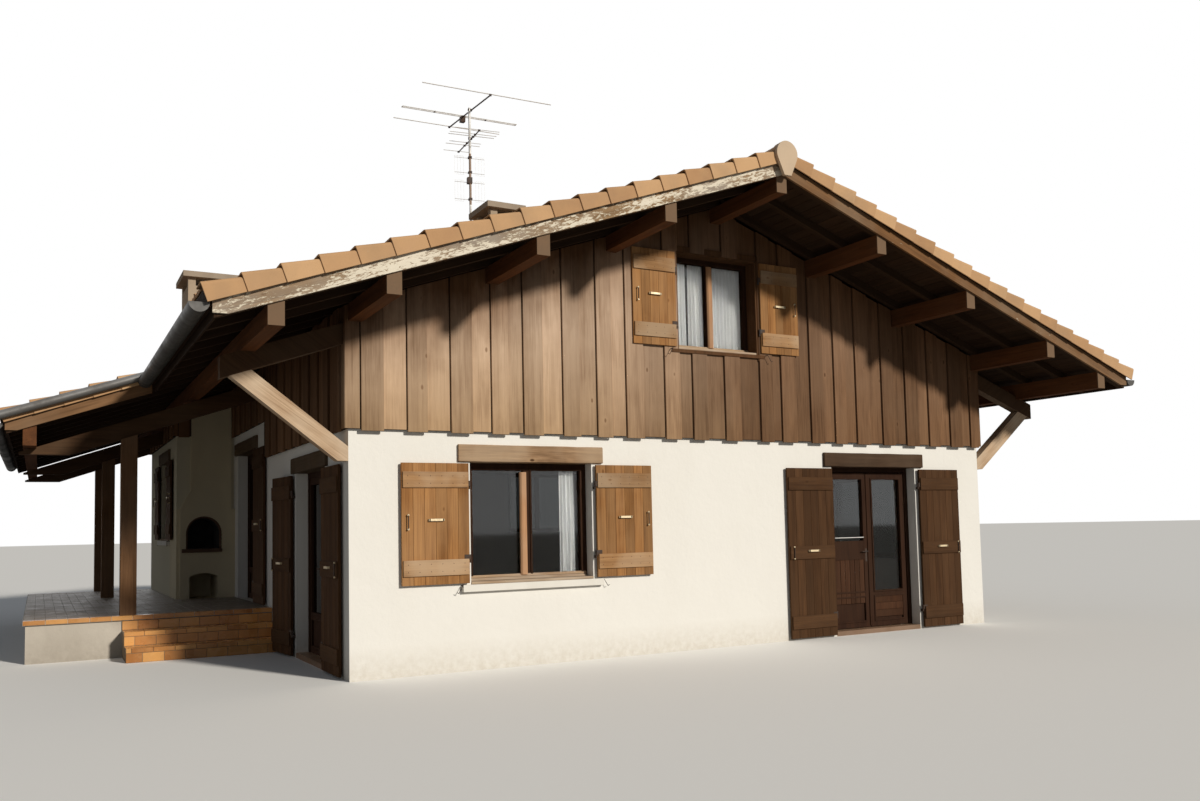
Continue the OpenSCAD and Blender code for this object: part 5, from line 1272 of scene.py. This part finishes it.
def oven_details():
    """Soot-black lining of the mouth, the dark stone ledge, and a brick arch round the mouth."""
    x, y0, depth = -5.175, 1.39, 0.78
    r, side, z = 0.265, 0.255, PORCH_Z + 0.79
    spring, face, back = z + side, y0 + 0.012, y0 + depth

    def arch(radius, foot):
        arc = [math.pi * i / 16 for i in range(17)]
        return ([(x + radius, z + foot)] + [(x + radius * math.cos(t), spring + radius * math.sin(t)) for t in arc]
                + [(x - radius, z + foot)])

    lining, ledge, rim = Piece(), Piece(), Piece()
    lining.prism(arch(r - 0.001, 0.001) + arch(r - 0.010, 0.010)[::-1], face, back, tone=0.5)
    lining.box(x - r + 0.01, x + r - 0.01, back - 0.01, back, z + 0.004, spring + r - 0.01, tone=0.5)
    lining.box(x - r + 0.006, x + r - 0.006, face, back, z + 0.001, z + 0.010, tone=0.4)
    lining.make("oven_lining", SOOT, slot="masonry")
    hewn(ledge, x - r - 0.066, x + r + 0.006, y0 - 0.066, face, z - 0.051, z + 0.006, Matrix.Identity(4), 0.003,
         0.010, seed=3)
    ledge.make("oven_ledge", LEDGE_STONE, slot="masonry", bevel=0.003)
    count, out, inn = 19, r + 0.004, r - 0.022
    for i in range(count):
        a, b = math.pi * (i + 0.04) / count, math.pi * (i + 0.96) / count
        ends = ((a, out), (b, out), (b, inn), (a, inn))
        rim.prism([(x + q * math.cos(t), spring + q * math.sin(t)) for t, q in ends], y0 - 0.004, y0 + 0.09)
    for j in range(4):
        foot = z + 0.008 + j * 0.062
        for a, b in ((x - out, x - inn), (x + inn, x + out)):
            rim.box(a, b, y0 - 0.004, y0 + 0.09, foot, foot + 0.056)
    rim.make("oven_rim", LEDGE_STONE, slot="masonry", bevel=0.002)


# ---------------------------------------------------------------- roof metal and aerial
GUTTERS = ((-6.335, 3.49, -6.80, -2.10), (6.335, 3.49, -6.80, 6.42),
           (-7.965, 2.915, -1.80, 6.42))  # centre in x, rim, and the first and last hook
CHIMNEYS = (-5.045, 0.72, 1.585, 2.415), (-1.075, 0.49, -1.415, -0.785)  # centre in x, width, front and back


def gutter_hooks():
    """Flat hooks that lie inside the gutters, with a strap across the top, about 0.8 m apart."""
    hooks = Piece()
    r, thick = 0.079, 0.004
    arc = [math.pi * (1 + j / 10) for j in range(11)]
    for centre, z, y0, y1 in GUTTERS:
        bow = [(centre + q * math.cos(t), z + q * math.sin(t))
               for q, turn in ((r, arc), (r - thick, arc[::-1])) for t in turn]
        count = round((y1 - y0) / 0.80)
        for i in range(count + 1):
            y = y0 + (y1 - y0) * i / count
            hooks.prism(bow, y - 0.012, y + 0.012, tone=0.5)
            hooks.box(centre - r, centre + r, y - 0.010, y + 0.010, z + 0.001, z + 0.001 + thick, tone=0.5)
    hooks.make("gutter_hooks", ZINC, slot="zinc")


def flashings():
    """Lead aprons round the feet of the chimneys, with upstands against their sides."""
    lead = Piece()

    def collar(x0, x1, y0, y1, over, out, skin, low, high):
        """Four strips round a chimney that follow the roof: in front and behind, then left and right."""
        for a, b, c, d in ((x0 - over, x1 + over, y0 - out, y0), (x0 - over, x1 + over, y1, y1 + out),
                           (x0 - skin, x0, y0, y1), (x1, x1 + skin, y0, y1)):
            strip = [(a, roof_z(a, low)), (b, roof_z(b, low)), (b, roof_z(b, high)), (a, roof_z(a, high))]
            lead.prism(strip, c, d, tone=0.5)

    for x, w, y0, y1 in CHIMNEYS:
        collar(x - w / 2, x + w / 2, y0, y1, 0.12, 0.12, 0.12, 0.335, 0.346)
        collar(x - w / 2, x + w / 2, y0, y1, 0.004, 0.006, 0.006, 0.30, 0.46)
    lead.make("chimney_flashings", FLASHING, slot="zinc", bevel=0.002)


def aerial_place(z, turn=0.0, tilt=0.0):
    """The frame of an aerial on the mast: x along its rods, y along its boom."""
    return (Matrix.Translation((MAST_X, MAST_Y, z)) @ Matrix.Rotation(math.radians(turn), 4, "Z")
            @ Matrix.Rotation(math.radians(tilt), 4, "X"))


def rod_aerial(tubes, place, rods, boom, rod_r, boom_r):
    """A boom beside the mast with its cross rods, each given as its place along the boom and its half length."""
    mid = 0.020 + boom_r
    tubes.rod((mid, boom[0], 0), (mid, boom[1], 0), boom_r, 10, finish=1, place=place)
    tubes.box(-0.022, mid + 0.010, -0.018, 0.018, -0.018, 0.018, finish=1, place=place)
    for y, half in rods:
        tubes.rod((-half, y, boom_r + rod_r * 0.6), (half, y, boom_r + rod_r * 0.6), rod_r, place=place)
        tubes.box(mid - 0.018, mid + 0.018, y - 0.012, y + 0.012, -boom_r, boom_r + 0.008, finish=1, place=place)


def wire_screens(tubes, turn):
    """Two screens of thin wires behind the mast, each held by two cross rods."""
    back, wires = 0.045, (0.10, 0.15, 0.20, 0.25)
    for low, high in ((6.93, 7.28), (7.38, 7.69)):
        place, half = aerial_place((low + high) / 2, turn), (high - low) / 2
        for side in (-1, 1):
            for x in wires:
                tubes.rod((side * x, back, -half), (side * x, back, half), 0.0016, 4, place=place)
            for z in (-half, half):
                tubes.rod((side * wires[0], back, z), (side * wires[-1], back, z), 0.0016, 4, place=place)
        for z in (-half + 0.03, half - 0.03):
            tubes.rod((-wires[-1], 0.040, z), (wires[-1], 0.040, z), 0.004, 6, place=place)
            tubes.box(-0.028, 0.028, -0.026, 0.044, z - 0.016, z + 0.016, finish=1, place=place)


def aerial_tubes():
    """The long aerial with its folded dipole, the short one below it, and the wire screens."""
    tubes = Piece()
    turn = -9.1
    upper, lower = aerial_place(8.466, -3.3, 7.6), aerial_place(7.982, turn, 8.0)
    rod_aerial(tubes, upper, [(-0.945, 1.063), (0.445, 1.0), (0.511, 1.0), (1.212, 0.963)], (-0.96, 1.23), 0.008,
               0.012)
    for x in (-1.0, 1.0):
        tubes.rod((x, 0.438, 0.017), (x, 0.518, 0.017), 0.008, place=upper)
    for x in (-0.45, 0.45):
        tubes.box(x - 0.008, x + 0.008, 0.44, 0.516, 0.008, 0.026, finish=1, place=upper)
    tubes.box(0.0, 0.075, 0.43, 0.53, -0.085, 0.010, finish=1, place=upper)
    rod_aerial(tubes, lower, [(-0.56, 0.363), (-0.27, 0.385), (-0.123, 0.379), (0.344, 0.267), (0.531, 0.293),
                              (1.022, 0.234)], (-0.58, 1.04), 0.0055, 0.010)
    wire_screens(tubes, turn)
    tubes.box(-0.050, 0.030, -0.030, 0.050, -0.05, 0.05, finish=1, place=aerial_place(7.27, turn))
    tubes.make("aerial_tubes", [ALUMINIUM, IRON], slot="aerial_metal", replaces=("aerials",))


def mast_tube():
    """The mast in three lengths, the middle one rusted, on two arms from the chimney with bolted plates."""
    mast = Piece(Matrix.Translation((MAST_X, MAST_Y, 0)))
    wall, plate = -0.145, 0.013  # the chimney's face from the mast, and the plates' thickness
    for low, high, finish in ((5.76, 6.86, 0), (6.86, 7.72, 1), (7.72, 8.50, 0)):
        mast.rod((0, 0, low), (0, 0, high), 0.020, 20, finish=finish)
    for z in CLAMP_Z:
        mast.rod((0, 0, z - 0.005), (0, 0, z + 0.035), 0.026, 16, finish=2)
        mast.box(-0.015, 0.015, wall, 0, z, z + 0.03, finish=2)
        mast.box(-0.015, 0.135, wall, wall + plate, z, z + 0.03, finish=2)
        for x in (0.050, 0.105):
            mast.rod((x, wall + 0.011, z + 0.015), (x, wall + 0.023, z + 0.015), 0.008, 6, finish=2)
    mast.make("mast_tube", [ALUMINIUM, RUSTED, IRON], slot="aerial_metal", replaces=("aerial_mast",))


def shutter_stays():
    """Thin iron hooks that hang from the wall below the shutters."""
    stays = Piece()
    for opening in WINDOWS:
        place, width, low, _ = OPENINGS[opening]
        face = -0.078 if opening in GABLES else 0.0
        z = low - 0.004
        for x, side in ((-0.11, -1), (width + 0.11, 1)):
            bend, tip = x + side * 0.055, x + side * 0.075
            stays.rod((x, face, z), (x, face - 0.050, z), 0.005, place=place)
            stays.rod((x, face - 0.046, z + 0.006), (bend, face - 0.052, z - 0.085), 0.0035, place=place)
            stays.rod((bend, face - 0.052, z - 0.083), (tip, face - 0.050, z - 0.072), 0.0035, place=place)
    stays.make("shutter_stays", IRON, slot="iron")


# ---------------------------------------------------------------- stage, light and camera
def pale_floor():
    """A pale floor that casts back less light than it shows."""
    reach, shown, cast_back = 260, (0.93, 0.92, 0.90), (0.42, 0.41, 0.39)
    floor = new_mesh("floor", [(-reach, -reach, 0), (reach, -reach, 0), (reach, reach, 0), (-reach, reach, 0)],
                     [(0, 1, 2, 3)])
    net = Finish("pale_floor", 0.95, Specular_IOR_Level=0.0)
    direct = net.add("ShaderNodeLightPath").outputs["Is Camera Ray"]
    floor.materials.append(net.complete(net.mix(direct, cast_back, shown)))
    in_scene("floor", floor)


def studio():
    """A white studio that shows brighter than the soft, slightly blue light that it gives."""
    white, given, strength = (1, 1, 1), (0.86, 0.92, 1.0), 0.19
    world = bpy.data.worlds.new("studio")
    bpy.context.scene.world = world
    world.use_nodes = True
    net = Net(world.node_tree)
    back = world.node_tree.nodes["Background"]
    rays = net.add("ShaderNodeLightPath").outputs
    seen = net.plus(net.plus(rays["Is Camera Ray"], rays["Is Glossy Ray"]), rays["Is Transmission Ray"])
    seen = net.math("MINIMUM", seen, 1.0)
    net.feed(back.inputs["Color"], net.mix(seen, given, white))
    net.feed(back.inputs["Strength"], net.fade(seen, 0.0, 1.0, strength, 1.0))


def lamps():
    """One warm key light from the front and the right."""
    sun = bpy.data.lights.new("key", "SUN")
    sun.energy, sun.angle, sun.color = 3.3, math.radians(5), (1.0, 0.945, 0.85)
    direction = Vector((0.38, -0.925, 0.431)).normalized()
    in_scene("key", sun).rotation_euler = direction.to_track_quat("Z", "Y").to_euler()


def camera():
    """The camera at the photograph's viewing angle."""
    data = bpy.data.cameras.new("camera")
    data.lens, data.sensor_width, data.shift_y, data.clip_end = 30.24, 36.0, 0.0508, 900
    at = (-7.491, -15.854, 1.524)
    yaw, pitch, roll = 0.508499, 0.0650772, -0.0215348
    forward = Vector((math.sin(yaw) * math.cos(pitch), math.cos(yaw) * math.cos(pitch), math.sin(pitch)))
    right = Vector((math.cos(yaw), -math.sin(yaw), 0))
    up = right.cross(forward)
    right, up = (math.cos(roll) * right + math.sin(roll) * up, -math.sin(roll) * right + math.cos(roll) * up)
    made = in_scene("camera", data)
    made.matrix_world = Matrix([(right[i], up[i], -forward[i], at[i]) for i in range(3)] + [(0, 0, 0, 1)])
    bpy.context.scene.camera = made


camera()
pale_floor()
studio()
lamps()
finish_cad_nodes()
roof()
boarded_walls()
shutters()
curtains()
lintel_beams()
window_joinery()
gable_casings()
door_joinery()
steps()
porch_tiles()
oven_details()
gutter_hooks()
flashings()
aerial_tubes()
mast_tube()
shutter_stays()
bpy.context.scene.view_settings.view_transform = "Standard"
